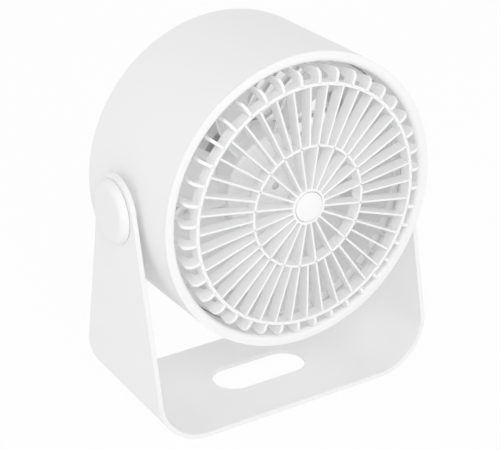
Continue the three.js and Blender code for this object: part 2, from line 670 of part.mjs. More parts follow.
function rearCover() {
  const outside = DRUM_INSIDE - SEAT_GAP;
  const faceY = BACK_Y - REAR_FACE;
  const rimInside = COVER_SCREW_CIRCLE - SCREW_BOSS_RADIUS;
  const pieces = [
    band(rimInside, outside, BACK_Y - REAR_RIM_DEPTH, BACK_Y, DRUM_SEGMENTS),
    turned([
      [BEARING_RADIUS + SEAT_GAP, POD_FRONT_Y],
      [POD_RADIUS, POD_FRONT_Y],
      [POD_RADIUS, BACK_Y],
      [POD_RADIUS - POD_WALL, BACK_Y],
      [POD_RADIUS - POD_WALL, POD_FRONT_Y + POD_WALL],
      [BEARING_RADIUS + SEAT_GAP, POD_FRONT_Y + POD_WALL],
    ], PART_SEGMENTS),
  ];
  const spacing = (rimInside - POD_RADIUS) / (REAR_RING_COUNT + 1);
  for (let i = 1; i <= REAR_RING_COUNT; i += 1) {
    const radius = POD_RADIUS + spacing * i;
    const half = REAR_RING_WIDTH / 2;
    pieces.push(band(radius - half, radius + half, faceY, BACK_Y, PART_SEGMENTS));
  }
  const spokeFrom = POD_RADIUS - POD_WALL / 2;
  const spokeTo = (rimInside + outside) / 2;
  const spoke = [[spokeFrom, faceY], [spokeTo, faceY], [spokeTo, BACK_Y], [spokeFrom, BACK_Y]];
  for (let i = 0; i < REAR_SPOKES; i += 1) {
    pieces.push(radialPlate(spoke, SPOKE_THICKNESS, (i * 360) / REAR_SPOKES));
  }
  const holes = [];
  for (let i = 0; i < COVER_SCREWS; i += 1) {
    const [x, z] = polar(COVER_SCREW_CIRCLE, coverScrewAngle(i));
    const sinkDepth = SMALL_HEAD_HEIGHT + SEAT_GAP;
    holes.push(rod(SCREW_BORE, 4 * REAR_RIM_DEPTH, SCREW_SEGMENTS).translate(x, BACK_Y, z));
    holes.push(rod(SMALL_HEAD_RADIUS + SEAT_GAP, 2 * sinkDepth, WASHER_SEGMENTS).translate(x, BACK_Y, z));
  }
  for (let i = 0; i < MOTOR_SCREWS; i += 1) {
    const [x, z] = motorScrewPlace(i);
    holes.push(rod(SCREW_BORE, 4 * POD_WALL, SCREW_SEGMENTS).translate(x, POD_FRONT_Y, z));
  }
  return cut(join(pieces), holes);
}

// A pan-head screw whose head faces along +Y and whose underside of the head is at y = 0.
function smallScrew(length) {
  return turned([
    [0, -length],
    [SMALL_THREAD_RADIUS, -length],
    [SMALL_THREAD_RADIUS, 0],
    [SMALL_HEAD_RADIUS, 0],
    [SMALL_HEAD_RADIUS, SMALL_HEAD_SIDE],
    [SMALL_HEAD_TOP_RADIUS, SMALL_HEAD_HEIGHT],
    [0, SMALL_HEAD_HEIGHT],
  ], SCREW_SEGMENTS);
}

// ---- Motor --------------------------------------------------------------------------------------

function motorPlate() {
  const disc = band(BEARING_RADIUS + SEAT_GAP, MOTOR_PLATE_RADIUS, PLATE_Y, POD_FRONT_Y, MOTOR_SEGMENTS);
  const holes = [];
  for (let i = 0; i < MOTOR_SCREWS; i += 1) {
    const [x, z] = motorScrewPlace(i);
    holes.push(rod(SCREW_BORE, 4 * MOTOR_PLATE, SCREW_SEGMENTS).translate(x, PLATE_Y, z));
  }
  return cut(disc, holes);
}

// Plain bearing sleeve: a tube with a collar that rests on the motor plate.
function bearingSleeve() {
  const bore = SHAFT_RADIUS + SHAFT_GAP;
  const collar = BEARING_RADIUS + BEARING_COLLAR;
  const collarY = PLATE_Y - BEARING_COLLAR_THICKNESS;
  return turned([
    [bore, BEARING_FRONT_Y],
    [BEARING_RADIUS, BEARING_FRONT_Y],
    [BEARING_RADIUS, collarY],
    [collar, collarY],
    [collar, PLATE_Y],
    [BEARING_RADIUS, PLATE_Y],
    [BEARING_RADIUS, POD_FRONT_Y + POD_WALL],
    [bore, POD_FRONT_Y + POD_WALL],
  ], WASHER_SEGMENTS);
}

function statorCore() {
  const y0 = STATOR_MIDDLE_Y - STATOR_LENGTH / 2;
  const y1 = STATOR_MIDDLE_Y + STATOR_LENGTH / 2;
  const pieces = [band(BEARING_RADIUS + SEAT_GAP, STATOR_CORE_RADIUS, y0, y1, WASHER_SEGMENTS)];
  const face = band(STATOR_RADIUS - SHOE_THICKNESS, STATOR_RADIUS, y0, y1, MOTOR_SEGMENTS);
  for (let i = 0; i < STATOR_POLES; i += 1) {
    const from = (BEARING_RADIUS + STATOR_CORE_RADIUS) / 2;
    const to = STATOR_RADIUS - SHOE_THICKNESS / 2;
    const outline = [[from, y0], [to, y0], [to, y1], [from, y1]];
    pieces.push(radialPlate(outline, POLE_WIDTH, (i * 360) / STATOR_POLES));
  }
  const ring = cut(face, [0, 1].map((i) => {
    const slots = block(3 * STATOR_RADIUS, 2 * STATOR_LENGTH, POLE_WIDTH, 0, STATOR_MIDDLE_Y, 0);
    return slots.rotateY(Math.PI / 4 + (i * Math.PI) / 2);
  }));
  return join([...pieces, ring]);
}

// One coil: a rectangular ring wound around a stator pole.
function coil(i) {
  const innerWidth = POLE_WIDTH + 2 * SEAT_GAP;
  const innerLength = STATOR_LENGTH + 2 * SEAT_GAP;
  const outerLength = innerLength + 2 * COIL_THICKNESS;
  const outerWidth = innerWidth + 2 * COIL_THICKNESS;
  const from = STATOR_CORE_RADIUS + SEAT_GAP;
  const to = Math.sqrt((STATOR_RADIUS - SHOE_THICKNESS) ** 2 - (outerWidth / 2) ** 2) - SEAT_GAP;
  const middle = (from + to) / 2;
  const length = to - from;
  const y = outerLength / 2;
  const z = outerWidth / 2;
  const outline = shapeOf([
    [COIL_CORNER - y, -z], [y - COIL_CORNER, -z], [y, COIL_CORNER - z], [y, z - COIL_CORNER],
    [y - COIL_CORNER, z], [COIL_CORNER - y, z], [-y, z - COIL_CORNER], [-y, COIL_CORNER - z],
  ]);
  const winding = extrudedAlongX(outline, from, to);
  const ring = cut(winding, [block(2 * length, innerLength, innerWidth, middle)]);
  ring.translate(0, STATOR_MIDDLE_Y, 0);
  return ring.rotateY(-(i * 2 * Math.PI) / STATOR_POLES);
}

// ---- Impeller -----------------------------------------------------------------------------------

// A cambered blade: its section is scaled, pitched and swept along the radius and wrapped round the
// axis, so that root and tip lie on cylinders.
function impellerBlade(i) {
  const root = IMPELLER_HUB_RADIUS - IMPELLER_WALL / 2;
  const span = TIP_RADIUS - root;
  const steps = 4;
  const top = [];
  const bottom = [];
  for (let k = 0; k <= steps; k += 1) {
    const share = k / steps - 0.5;
    const lift = BLADE_CAMBER * (1 - 4 * share * share);
    top.push([share, lift, 1]);
    bottom.push([share, lift, -1]);
  }
  const outline = [...bottom, ...top.reverse()].map(([u, v, side]) => [u, v + side * 0.01]);
  const geometry = new THREE.ExtrudeGeometry(shapeOf(outline), { depth: 1, steps: 5, bevelEnabled: false });
  const position = geometry.getAttribute('position');
  const middleY = HUB_FRONT_Y + IMPELLER_HUB_LENGTH / 2;
  for (let k = 0; k < position.count; k += 1) {
    const along = position.getZ(k);
    const share = position.getX(k);
    const lift = BLADE_CAMBER * (1 - 4 * share * share);
    const side = Math.sign(position.getY(k) - lift);
    const radius = root + span * along;
    const chord = THREE.MathUtils.lerp(ROOT_CHORD, TIP_CHORD, along);
    const pitch = THREE.MathUtils.degToRad(THREE.MathUtils.lerp(ROOT_PITCH, TIP_PITCH, along));
    const u = chord * share;
    const v = chord * lift + (side * BLADE_THICKNESS) / 2;
    const around = u * Math.cos(pitch) - v * Math.sin(pitch);
    const y = u * Math.sin(pitch) + v * Math.cos(pitch);
    const sweep = THREE.MathUtils.degToRad(BLADE_SWEEP * along * along);
    const place = THREE.MathUtils.degToRad(BLADE_PHASE + (i * 360) / BLADE_COUNT);
    const angle = around / radius + sweep + place;
    position.setXYZ(k, radius * Math.cos(angle), middleY + y, radius * Math.sin(angle));
  }
  return geometry;
}

function outward(geometry) {
  const clean = cleanGeometry(geometry);
  const p = clean.getAttribute('position');
  const index = clean.getIndex().array;
  const [a, b, c] = [new THREE.Vector3(), new THREE.Vector3(), new THREE.Vector3()];
  let volume = 0;
  for (let i = 0; i < index.length; i += 3) {
    a.fromBufferAttribute(p, index[i]);
    b.fromBufferAttribute(p, index[i + 1]);
    c.fromBufferAttribute(p, index[i + 2]);
    volume += a.dot(b.cross(c));
  }
  if (volume < 0) clean.setIndex(Array.from(index).reverse());
  return clean;
}

function impeller() {
  const inside = IMPELLER_HUB_RADIUS - IMPELLER_WALL;
  const shaftHole = SHAFT_RADIUS + SEAT_GAP;
  const hub = turned([
    [shaftHole, HUB_FRONT_Y],
    ...arc(IMPELLER_HUB_RADIUS - HUB_EDGE, HUB_FRONT_Y + HUB_EDGE, HUB_EDGE, -90, 0, 3),
    [IMPELLER_HUB_RADIUS, HUB_BACK_Y],
    [inside, HUB_BACK_Y],
    [inside, HUB_FRONT_Y + IMPELLER_FACE],
    [shaftHole, HUB_FRONT_Y + IMPELLER_FACE],
  ], 2 * MOTOR_SEGMENTS);
  const pieces = [hub];
  for (let i = 0; i < BLADE_COUNT; i += 1) pieces.push(outward(impellerBlade(i)));
  return join(pieces);
}

function rotorYoke() {
  const end = YOKE_FRONT_Y + YOKE_LENGTH;
  const hole = SHAFT_RADIUS + SEAT_GAP;
  return turned([
    [hole, YOKE_FRONT_Y],
    [YOKE_RADIUS, YOKE_FRONT_Y],
    [YOKE_RADIUS, end],
    [YOKE_RADIUS - YOKE_WALL, end],
    [YOKE_RADIUS - YOKE_WALL, YOKE_FRONT_Y + YOKE_WALL],
    [hole, YOKE_FRONT_Y + YOKE_WALL],
  ], MOTOR_SEGMENTS);
}

function makeImpeller() {
  const spinner = new THREE.Group();
  const bearingEnd = POD_FRONT_Y + POD_WALL;
  const shaft = turned([
    [0, HUB_FRONT_Y + SHAFT_SINK],
    [SHAFT_RADIUS, HUB_FRONT_Y + SHAFT_SINK],
    [SHAFT_RADIUS, bearingEnd + SHAFT_PROUD],
    [0, bearingEnd + SHAFT_PROUD],
  ], WASHER_SEGMENTS);
  const clipY = bearingEnd + SEAT_GAP;
  const magnetBack = MAGNET_FRONT_Y + MAGNET_LENGTH;
  spinner.add(part('impeller', impeller(), GLOSS_WHITE));
  spinner.add(part('rotor_yoke', rotorYoke(), DARK_STEEL));
  spinner.add(part('ring_magnet', band(MAGNET_RADIUS - MAGNET_THICKNESS, MAGNET_RADIUS,
    MAGNET_FRONT_Y, magnetBack, MOTOR_SEGMENTS), FERRITE));
  spinner.add(part('motor_shaft', shaft, STEEL));
  spinner.add(part('shaft_clip', band(SHAFT_RADIUS + SEAT_GAP, SHAFT_RADIUS + SEAT_GAP + CLIP_WIDTH,
    clipY, clipY + CLIP_THICKNESS, WASHER_SEGMENTS), STEEL));
  return spinner;
}

// ---- Controls -----------------------------------------------------------------------------------

// Lid of the pod: two posts carry the board, one hole is for the button and one for the inlet.
function controlLid() {
  const pieces = [band(0, LID_RADIUS, LID_FRONT_Y, BACK_Y, PART_SEGMENTS)];
  const postLength = BACK_Y - BOARD_BACK_Y - LID_THICKNESS / 2;
  for (const side of [1, -1]) {
    const post = rod(POST_RADIUS, postLength, SCREW_SEGMENTS);
    pieces.push(post.translate(side * POST_X, BOARD_BACK_Y + postLength / 2, side * POST_Z));
  }
  const button = rod(BUTTON_RADIUS + BUTTON_GAP, 4 * LID_THICKNESS, MOTOR_SEGMENTS);
  const inlet = stadium(SOCKET_WIDTH + 2 * SEAT_GAP, SOCKET_HEIGHT + 2 * SEAT_GAP);
  return cut(join(pieces), [
    button.translate(0, LID_FRONT_Y, BUTTON_HEIGHT),
    extrudedAlongY(inlet, BOARD_BACK_Y, BACK_Y + LID_THICKNESS).translate(0, 0, -BUTTON_HEIGHT),
  ]);
}

// Round push button with a flange that keeps it behind the lid.
function powerButton() {
  const flange = BUTTON_RADIUS + BUTTON_LIP;
  const tip = BACK_Y + BUTTON_PROUD;
  return turned([
    [0, BUTTON_BACK_Y],
    [flange, BUTTON_BACK_Y],
    [flange, BUTTON_BACK_Y + BUTTON_FLANGE],
    [BUTTON_RADIUS, BUTTON_BACK_Y + BUTTON_FLANGE],
    ...arc(BUTTON_RADIUS - BUTTON_ROUND, tip - BUTTON_ROUND, BUTTON_ROUND, 0, 90, 3),
    [0, tip],
  ], MOTOR_SEGMENTS);
}

function powerInlet() {
  const outer = extrudedAlongY(stadium(SOCKET_WIDTH, SOCKET_HEIGHT), BOARD_BACK_Y, BACK_Y);
  const mouth = stadium(SOCKET_WIDTH - 2 * SOCKET_WALL, SOCKET_HEIGHT - 2 * SOCKET_WALL);
  return cut(outer, [extrudedAlongY(mouth, BOARD_BACK_Y + SOCKET_FLOOR, BACK_Y + SOCKET_FLOOR)]);
}

function addControls(head) {
  const boardMiddle = BOARD_BACK_Y - BOARD_THICKNESS / 2;
  head.add(part('control_lid', controlLid(), MATT_WHITE));
  head.add(part('control_board', block(BOARD_WIDTH, BOARD_THICKNESS, BOARD_HEIGHT), BOARD_GREEN,
    0, boardMiddle, 0));
  head.add(part('push_switch', block(SWITCH_SIZE, SWITCH_HEIGHT, SWITCH_SIZE), BLACK,
    0, BOARD_BACK_Y + SWITCH_HEIGHT / 2, BUTTON_HEIGHT));
  head.add(part('power_inlet', powerInlet(), STEEL, 0, 0, -BUTTON_HEIGHT));
  head.add(part('power_button', powerButton(), GLOSS_WHITE, 0, 0, BUTTON_HEIGHT));
}

// ---- Head ---------------------------------------------------------------------------------------

function makeHead() {
  const head = new THREE.Group();
  head.position.z = PIVOT_HEIGHT;
  head.add(part('drum_housing', drumHousing(), MATT_WHITE));
  head.add(part('front_bezel', bezel(), GLOSS_WHITE));
  head.add(part('front_grille', frontGrille(), GLOSS_WHITE));
  head.add(part('grille_badge', badge(), GLOSS_WHITE));
  head.add(part('air_duct', duct(), MATT_WHITE));
  head.add(part('rear_cover', rearCover(), MATT_WHITE));
  head.add(part('motor_plate', motorPlate(), STEEL));
  head.add(part('bearing_sleeve', bearingSleeve(), BRASS));
  head.add(part('stator_core', statorCore(), DARK_STEEL));
  for (let i = 0; i < STATOR_POLES; i += 1) head.add(part(`stator_coil_${i + 1}`, coil(i), COPPER));
  for (let i = 0; i < COVER_SCREWS; i += 1) {
    const [x, z] = polar(COVER_SCREW_CIRCLE, coverScrewAngle(i));
    const seat = BACK_Y - SMALL_HEAD_HEIGHT - SEAT_GAP + HEAD_REST;
    head.add(part(`cover_screw_${i + 1}`, smallScrew(COVER_SCREW_LENGTH), STEEL, x, seat, z));
  }
  for (let i = 0; i < MOTOR_SCREWS; i += 1) {
    const [x, z] = motorScrewPlace(i);
    const screw = smallScrew(MOTOR_PLATE + POD_WALL + MOTOR_SCREW_BITE).rotateX(Math.PI);
    head.add(part(`motor_screw_${i + 1}`, screw, STEEL, x, PLATE_Y - HEAD_REST, z));
  }
  addPivots(head);
  addControls(head);
  head.add(makeImpeller());
  return head;
}

const fan = new THREE.Group();
fan.position.y = MIDDLE_Y;
fan.add(makeStand());
fan.add(makeHead());
export default fan;
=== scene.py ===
import json
import math

import bmesh
import bpy
from mathutils import Matrix, Vector


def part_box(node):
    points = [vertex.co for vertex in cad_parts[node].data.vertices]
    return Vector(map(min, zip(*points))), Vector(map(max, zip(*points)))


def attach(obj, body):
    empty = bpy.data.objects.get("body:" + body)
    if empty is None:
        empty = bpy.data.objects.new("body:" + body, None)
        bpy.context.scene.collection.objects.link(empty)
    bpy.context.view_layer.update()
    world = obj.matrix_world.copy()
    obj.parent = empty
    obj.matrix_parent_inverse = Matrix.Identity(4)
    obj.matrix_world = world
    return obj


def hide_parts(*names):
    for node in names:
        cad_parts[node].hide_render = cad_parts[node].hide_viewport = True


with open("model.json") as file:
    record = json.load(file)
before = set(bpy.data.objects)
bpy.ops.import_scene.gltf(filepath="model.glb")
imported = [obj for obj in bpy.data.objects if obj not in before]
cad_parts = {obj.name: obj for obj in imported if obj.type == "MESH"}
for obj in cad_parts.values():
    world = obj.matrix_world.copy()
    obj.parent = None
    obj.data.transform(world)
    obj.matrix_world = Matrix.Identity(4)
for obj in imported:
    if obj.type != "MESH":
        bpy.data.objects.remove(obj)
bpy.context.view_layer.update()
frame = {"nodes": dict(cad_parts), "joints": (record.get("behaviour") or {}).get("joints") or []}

nodes = frame["nodes"]


# ---- Stand bracket ------------------------------------------------------------------------------
# A strip of 3 mm steel plate, tapered at both ends and slotted in the middle, bent up twice into a U.
# It is powder coated white after bending, so that all its edges are softly rounded.
MM = 0.001
PLATE = 3.0
BEND_RADIUS = 34.0
BEND_ROWS = 14
ARM_TOP_RADIUS = 22.5
ARM_TOP_STEPS = 18
PIVOT_HOLE_RADIUS = 4.3
SLOT_LENGTH = 65.7
SLOT_WIDTH = 28.7
SLOT_STEPS = 14
PLATE_EDGE = 0.5
SHARP_FROM = math.radians(40)

tilt_joint = next(joint for joint in frame["joints"] if joint["name"] == "head_tilt")
TILT_AXIS = Vector(tilt_joint["pos_m"]) / MM
bracket_low, bracket_high = (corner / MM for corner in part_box("stand_bracket"))


def new_pattern_group(name, given):
    """An empty shader group with the given inputs, which puts out a colour, a roughness and a height."""
    group = bpy.data.node_groups.new(name, "ShaderNodeTree")
    for label, kind, value in given:
        socket = group.interface.new_socket(name=label, in_out="INPUT", socket_type="NodeSocket" + kind)
        socket.default_value = value
    for label, kind in (("Colour", "Color"), ("Roughness", "Float"), ("Height", "Float")):
        group.interface.new_socket(name=label, in_out="OUTPUT", socket_type="NodeSocket" + kind)
    return group


def vary_by(group, given, result, pattern, tint, spread):
    """Lets a pattern shade the group's colour and spread its roughness, by the inputs tint and spread."""
    tree, link = group.nodes, group.links.new
    centred = tree.new("ShaderNodeMath")
    centred.operation = "SUBTRACT"
    centred.inputs[1].default_value = 0.5
    link(pattern, centred.inputs[0])
    shade = tree.new("ShaderNodeMath")
    shade.operation = "MULTIPLY_ADD"
    shade.inputs[2].default_value = 1.0
    link(centred.outputs[0], shade.inputs[0])
    link(given.outputs[tint], shade.inputs[1])
    tinted = tree.new("ShaderNodeVectorMath")
    tinted.operation = "SCALE"
    link(given.outputs["Colour"], tinted.inputs[0])
    link(shade.outputs[0], tinted.inputs["Scale"])
    link(tinted.outputs["Vector"], result.inputs["Colour"])
    rough = tree.new("ShaderNodeMath")
    rough.operation = "MULTIPLY_ADD"
    link(centred.outputs[0], rough.inputs[0])
    link(given.outputs[spread], rough.inputs[1])
    link(given.outputs["Roughness"], rough.inputs[2])
    link(rough.outputs[0], result.inputs["Roughness"])


def new_skin_group():
    """Colour, roughness and height of a moulded or coated skin: broad faint patches and a fine grain."""
    group = new_pattern_group("Fine skin", (
        ("Colour", "Color", (0.8, 0.8, 0.8, 1)), ("Patch strength", "Float", 0.02),
        ("Patch scale", "Float", 20.0), ("Roughness", "Float", 0.5), ("Roughness spread", "Float", 0.05),
        ("Grain scale", "Float", 1500.0),
    ))
    tree, link = group.nodes, group.links.new
    given, result = tree.new("NodeGroupInput"), tree.new("NodeGroupOutput")
    place = tree.new("ShaderNodeTexCoord")
    patches = tree.new("ShaderNodeTexNoise")
    patches.inputs["Detail"].default_value = 3.0
    link(place.outputs["Object"], patches.inputs["Vector"])
    link(given.outputs["Patch scale"], patches.inputs["Scale"])
    vary_by(group, given, result, patches.outputs["Fac"], "Patch strength", "Roughness spread")
    grain = tree.new("ShaderNodeTexNoise")
    grain.inputs["Detail"].default_value = 2.0
    link(place.outputs["Object"], grain.inputs["Vector"])
    link(given.outputs["Grain scale"], grain.inputs["Scale"])
    link(grain.outputs["Fac"], result.inputs["Height"])
    return group


FINE_SKIN = new_skin_group()


def patterned_material(name, group, settings, relief_strength, relief_depth):
    """A material whose colour, roughness and fine relief come from a shader group with these settings."""
    material = bpy.data.materials.new(name)
    material.use_nodes = True
    tree, link = material.node_tree.nodes, material.node_tree.links.new
    surface = tree["Principled BSDF"]
    pattern = tree.new("ShaderNodeGroup")
    pattern.node_tree = group
    for label, value in settings.items():
        pattern.inputs[label].default_value = value
    relief = tree.new("ShaderNodeBump")
    relief.inputs["Strength"].default_value = relief_strength
    relief.inputs["Distance"].default_value = relief_depth
    link(pattern.outputs["Height"], relief.inputs["Height"])
    link(pattern.outputs["Colour"], surface.inputs["Base Color"])
    link(pattern.outputs["Roughness"], surface.inputs["Roughness"])
    link(relief.outputs["Normal"], surface.inputs["Normal"])
    return material, surface


def skinned_material(name, colour, roughness, grain_scale, grain_depth, patch=0.02, spread=0.06, coat=0.0):
    """A moulded or coated surface."""
    material, surface = patterned_material(name, FINE_SKIN, {
        "Colour": (*colour, 1), "Patch strength": patch, "Roughness": roughness, "Roughness spread": spread,
        "Grain scale": grain_scale,
    }, 0.6, grain_depth)
    surface.inputs["Coat Weight"].default_value = coat
    return material


def add_piece(name, shape, body, stands_for, material, edge=0.0, edge_steps=3):
    """Makes a shape drawn in millimetres into a piece that rides on a body, with its edges rounded."""
    bmesh.ops.recalc_face_normals(shape, faces=shape.faces)
    mesh = bpy.data.meshes.new(name)
    shape.to_mesh(mesh)
    shape.free()
    mesh.transform(Matrix.Scale(MM, 4))
    mesh.materials.append(material)
    for polygon in mesh.polygons:
        polygon.use_smooth = True
    piece = bpy.data.objects.new(name, mesh)
    bpy.context.scene.collection.objects.link(piece)
    if edge:
        rounding = piece.modifiers.new("edge_rounding", "BEVEL")
        rounding.width = edge * MM
        rounding.segments = edge_steps
        rounding.limit_method = "ANGLE"
        rounding.angle_limit = SHARP_FROM
    even = piece.modifiers.new("even_normals", "WEIGHTED_NORMAL")
    even.keep_sharp = True
    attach(piece, body)
    if stands_for:
        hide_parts(*stands_for)
    return piece


class BentPlate:
    """Both skins of the bent plate, built together so that the rim can join them."""

    def __init__(self):
        self.shape = bmesh.new()
        self.corners = {}
        self.partner = {}

    def corner(self, side, zone, along, across):
        """A point of the plate: zone is arm (along is height), bend (angle) or base (along is x)."""
        pair = []
        for depth in (0.0, PLATE):
            if zone == "arm":
                x, z = side * (bracket_high.x - depth), along
            elif zone == "bend":
                radius = BEND_RADIUS - depth
                x = side * (bracket_high.x - BEND_RADIUS + radius * math.cos(along))
                z = bracket_low.z + BEND_RADIUS - radius * math.sin(along)
            else:
                x, z = along, bracket_low.z + depth
            pair.append(Vector((x, TILT_AXIS.y + across, z)))
        key = tuple(round(value, 3) for value in pair[0])
        if key not in self.corners:
            outer, inner = (self.shape.verts.new(point) for point in pair)
            self.corners[key] = outer
            self.partner[outer] = inner
        return self.corners[key]

    def face(self, corners):
        self.shape.faces.new(corners)
        self.shape.faces.new([self.partner[corner] for corner in reversed(corners)])

    def close_rim(self):
        open_edges = [edge for edge in self.shape.edges
                      if len(edge.link_faces) == 1 and edge.verts[0] in self.partner]
        for edge in open_edges:
            first, second = edge.verts
            self.shape.faces.new([first, second, self.partner[second], self.partner[first]])


def bracket_shape():
    plate = BentPlate()
    half_depth = (bracket_high.y - bracket_low.y) / 2
    bend_top = bracket_low.z + BEND_RADIUS
    base_end = bracket_high.x - BEND_RADIUS
    base_corners = ((-base_end, 0), (-base_end, 1), (base_end, 1), (base_end, 0))
    rise = TILT_AXIS.z - bend_top
    reach = math.hypot(half_depth, rise)
    lean = math.atan2(half_depth, rise) - math.asin(ARM_TOP_RADIUS / reach)
    quarter = math.pi / 2
    for half in (-1, 1):
        for side in (-1, 1):
            arm = [("arm", bend_top, 0.0), ("arm", bend_top, half * half_depth)]
            for step in range(ARM_TOP_STEPS + 1):
                angle = lean + (quarter - lean) * step / ARM_TOP_STEPS
                height = TILT_AXIS.z + ARM_TOP_RADIUS * math.sin(angle)
                arm.append(("arm", height, half * ARM_TOP_RADIUS * math.cos(angle)))
            for step in range(SLOT_STEPS + 1):
                angle = quarter - math.pi * step / SLOT_STEPS
                height = TILT_AXIS.z + PIVOT_HOLE_RADIUS * math.sin(angle)
                arm.append(("arm", height, half * PIVOT_HOLE_RADIUS * math.cos(angle)))
            plate.face([plate.corner(side, *place) for place in arm])
            for row in range(BEND_ROWS):
                upper, lower = (quarter * (row + more) / BEND_ROWS for more in (0, 1))
                places = [(upper, 0.0), (upper, half * half_depth), (lower, half * half_depth), (lower, 0.0)]
                plate.face([plate.corner(side, "bend", angle, across) for angle, across in places])
        base = [(x, share * half * half_depth) for x, share in base_corners]
        straight = (SLOT_LENGTH - SLOT_WIDTH) / 2
        for step in range(2 * SLOT_STEPS + 2):
            end = 1 if step <= SLOT_STEPS else -1
            turn = step if step <= SLOT_STEPS else step - 1
            angle = math.pi * turn / (2 * SLOT_STEPS)
            base.append((end * straight + SLOT_WIDTH / 2 * math.cos(angle),
                         half * SLOT_WIDTH / 2 * math.sin(angle)))
        plate.face([plate.corner(1, "base", x, across) for x, across in base])
    plate.close_rim()
    return plate.shape


powder_coat = skinned_material("powder_coat_white", (0.93, 0.93, 0.93), 0.42, 900.0, 0.00003,
                               patch=0.03, spread=0.08, coat=0.1)
add_piece("bracket_plate", bracket_shape(), "stand", ["stand_bracket"], powder_coat,
          edge=PLATE_EDGE)


# ---- Feet ---------------------------------------------------------------------------------------
# Soft grey rubber pads pressed into pockets under the base. Each is a moulded disc with a shallow
# dished sole, and stands a little proud of the plate.
FOOT_EDGE = 0.45
SOLE_DISH = 0.25
SOLE_RIM = 1.6
FOOT_SEGMENTS = 40
ON_AXIS = 1e-5
SLIGHT_EDGE, FINE_EDGE, SMALL_EDGE, SOFT_EDGE = 0.2, 0.3, 0.4, 0.5


def softened(corners, steps=4):
    """A closed profile of (radius, along, rounding) corners, with an arc at each rounded corner."""
    points = []
    for index, (radius, along, rounding) in enumerate(corners):
        here = Vector((radius, along))
        if rounding <= 0:
            points.append(here)
            continue
        before = (Vector(corners[index - 1][:2]) - here).normalized()
        after = (Vector(corners[(index + 1) % len(corners)][:2]) - here).normalized()
        opening = before.angle(after)
        reach = rounding / math.tan(opening / 2)
        centre = here + (before + after).normalized() * rounding / math.sin(opening / 2)
        start, end = here + before * reach - centre, here + after * reach - centre
        sweep = start.angle_signed(end)
        for step in range(steps + 1):
            turned_by = Matrix.Rotation(-sweep * step / steps, 2)
            points.append(centre + turned_by @ start)
    return [(point.x, point.y) for point in points]


def turn(shape, profile, segments, place):
    """Turns a closed profile of (radius, along) points about the Y axis of a place."""
    rings = []
    for radius, along in profile:
        if radius < ON_AXIS:
            rings.append([shape.verts.new(place @ Vector((0, along, 0)))])
            continue
        ring = []
        for step in range(segments):
            angle = 2 * math.pi * step / segments
            point = Vector((radius * math.cos(angle), along, radius * math.sin(angle)))
            ring.append(shape.verts.new(place @ point))
        rings.append(ring)
    for ring, following in zip(rings, rings[1:] + rings[:1]):
        if len(ring) == 1 and len(following) == 1:
            continue
        for step in range(segments):
            ahead = step + 1
            corners = [ring[step % len(ring)], ring[ahead % len(ring)],
                       following[ahead % len(following)], following[step % len(following)]]
            shape.faces.new(list(dict.fromkeys(corners)))


def middle_of(node):
    low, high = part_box(node)
    return (low + high) / 2 / MM


def size_of(node):
    low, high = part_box(node)
    return (high - low) / MM


rubber = skinned_material("soft_grey_rubber", (0.42, 0.42, 0.43), 0.82, 2200.0, 0.00004, patch=0.10)
UPRIGHT = Matrix.Rotation(math.pi / 2, 4, "X")
for foot in [name for name in nodes if name.startswith("foot_")]:
    middle, size = middle_of(foot), size_of(foot)
    outside = size.x / 2
    inside = outside - SOLE_RIM
    profile = softened([(0, SOLE_DISH, 0), (inside, SOLE_DISH, SLIGHT_EDGE), (inside, 0, SLIGHT_EDGE),
                        (outside, 0, FOOT_EDGE), (outside, size.z, SLIGHT_EDGE), (0, size.z, 0)], 3)
    pad = bmesh.new()
    standing = Matrix.Translation((middle.x, middle.y, middle.z - size.z / 2)) @ UPRIGHT
    turn(pad, profile, FOOT_SEGMENTS, standing)
    add_piece(foot + "_pad", pad, "stand", [foot], rubber)


# ---- Friction washers and pivot screws ----------------------------------------------------------
# Nylon washers sit between the arms and the drum, and the head turns on two plated shoulder screws.
# The screws squeeze the washers, and that holds the tilt.
nylon = skinned_material("natural_nylon", (0.72, 0.72, 0.69), 0.45, 1800.0, 0.00002, patch=0.05)


def new_brushed_group():
    """Fine streaks along one axis, as left on metal that is turned, drawn or rolled."""
    group = new_pattern_group("Drawn streaks", (
        ("Colour", "Color", (0.6, 0.6, 0.6, 1)), ("Streak strength", "Float", 0.2),
        ("Roughness", "Float", 0.3), ("Stretch", "Vector", (3000.0, 60.0, 3000.0)),
    ))
    tree, link = group.nodes, group.links.new
    given, result = tree.new("NodeGroupInput"), tree.new("NodeGroupOutput")
    place = tree.new("ShaderNodeTexCoord")
    stretched = tree.new("ShaderNodeVectorMath")
    stretched.operation = "MULTIPLY"
    link(place.outputs["Object"], stretched.inputs[0])
    link(given.outputs["Stretch"], stretched.inputs[1])
    streaks = tree.new("ShaderNodeTexNoise")
    streaks.inputs["Scale"].default_value = 1.0
    streaks.inputs["Detail"].default_value = 4.0
    link(stretched.outputs["Vector"], streaks.inputs["Vector"])
    vary_by(group, given, result, streaks.outputs["Fac"], "Streak strength", "Streak strength")
    link(streaks.outputs["Fac"], result.inputs["Height"])
    return group


DRAWN_STREAKS = new_brushed_group()


def metal_material(name, colour, roughness, streaks, stretch, depth=0.00001):
    """A bare or plated metal surface."""
    material, surface = patterned_material(name, DRAWN_STREAKS, {
        "Colour": (*colour, 1), "Streak strength": streaks, "Roughness": roughness, "Stretch": stretch,
    }, 0.4, depth)
    surface.inputs["Metallic"].default_value = 1.0
    return material


def finish_nodes(material, *names):
    """Gives CAD pieces that keep their own shape their real finish."""
    for name in names:
        mesh = nodes[name].data
        mesh.materials.clear()
        mesh.materials.append(material)


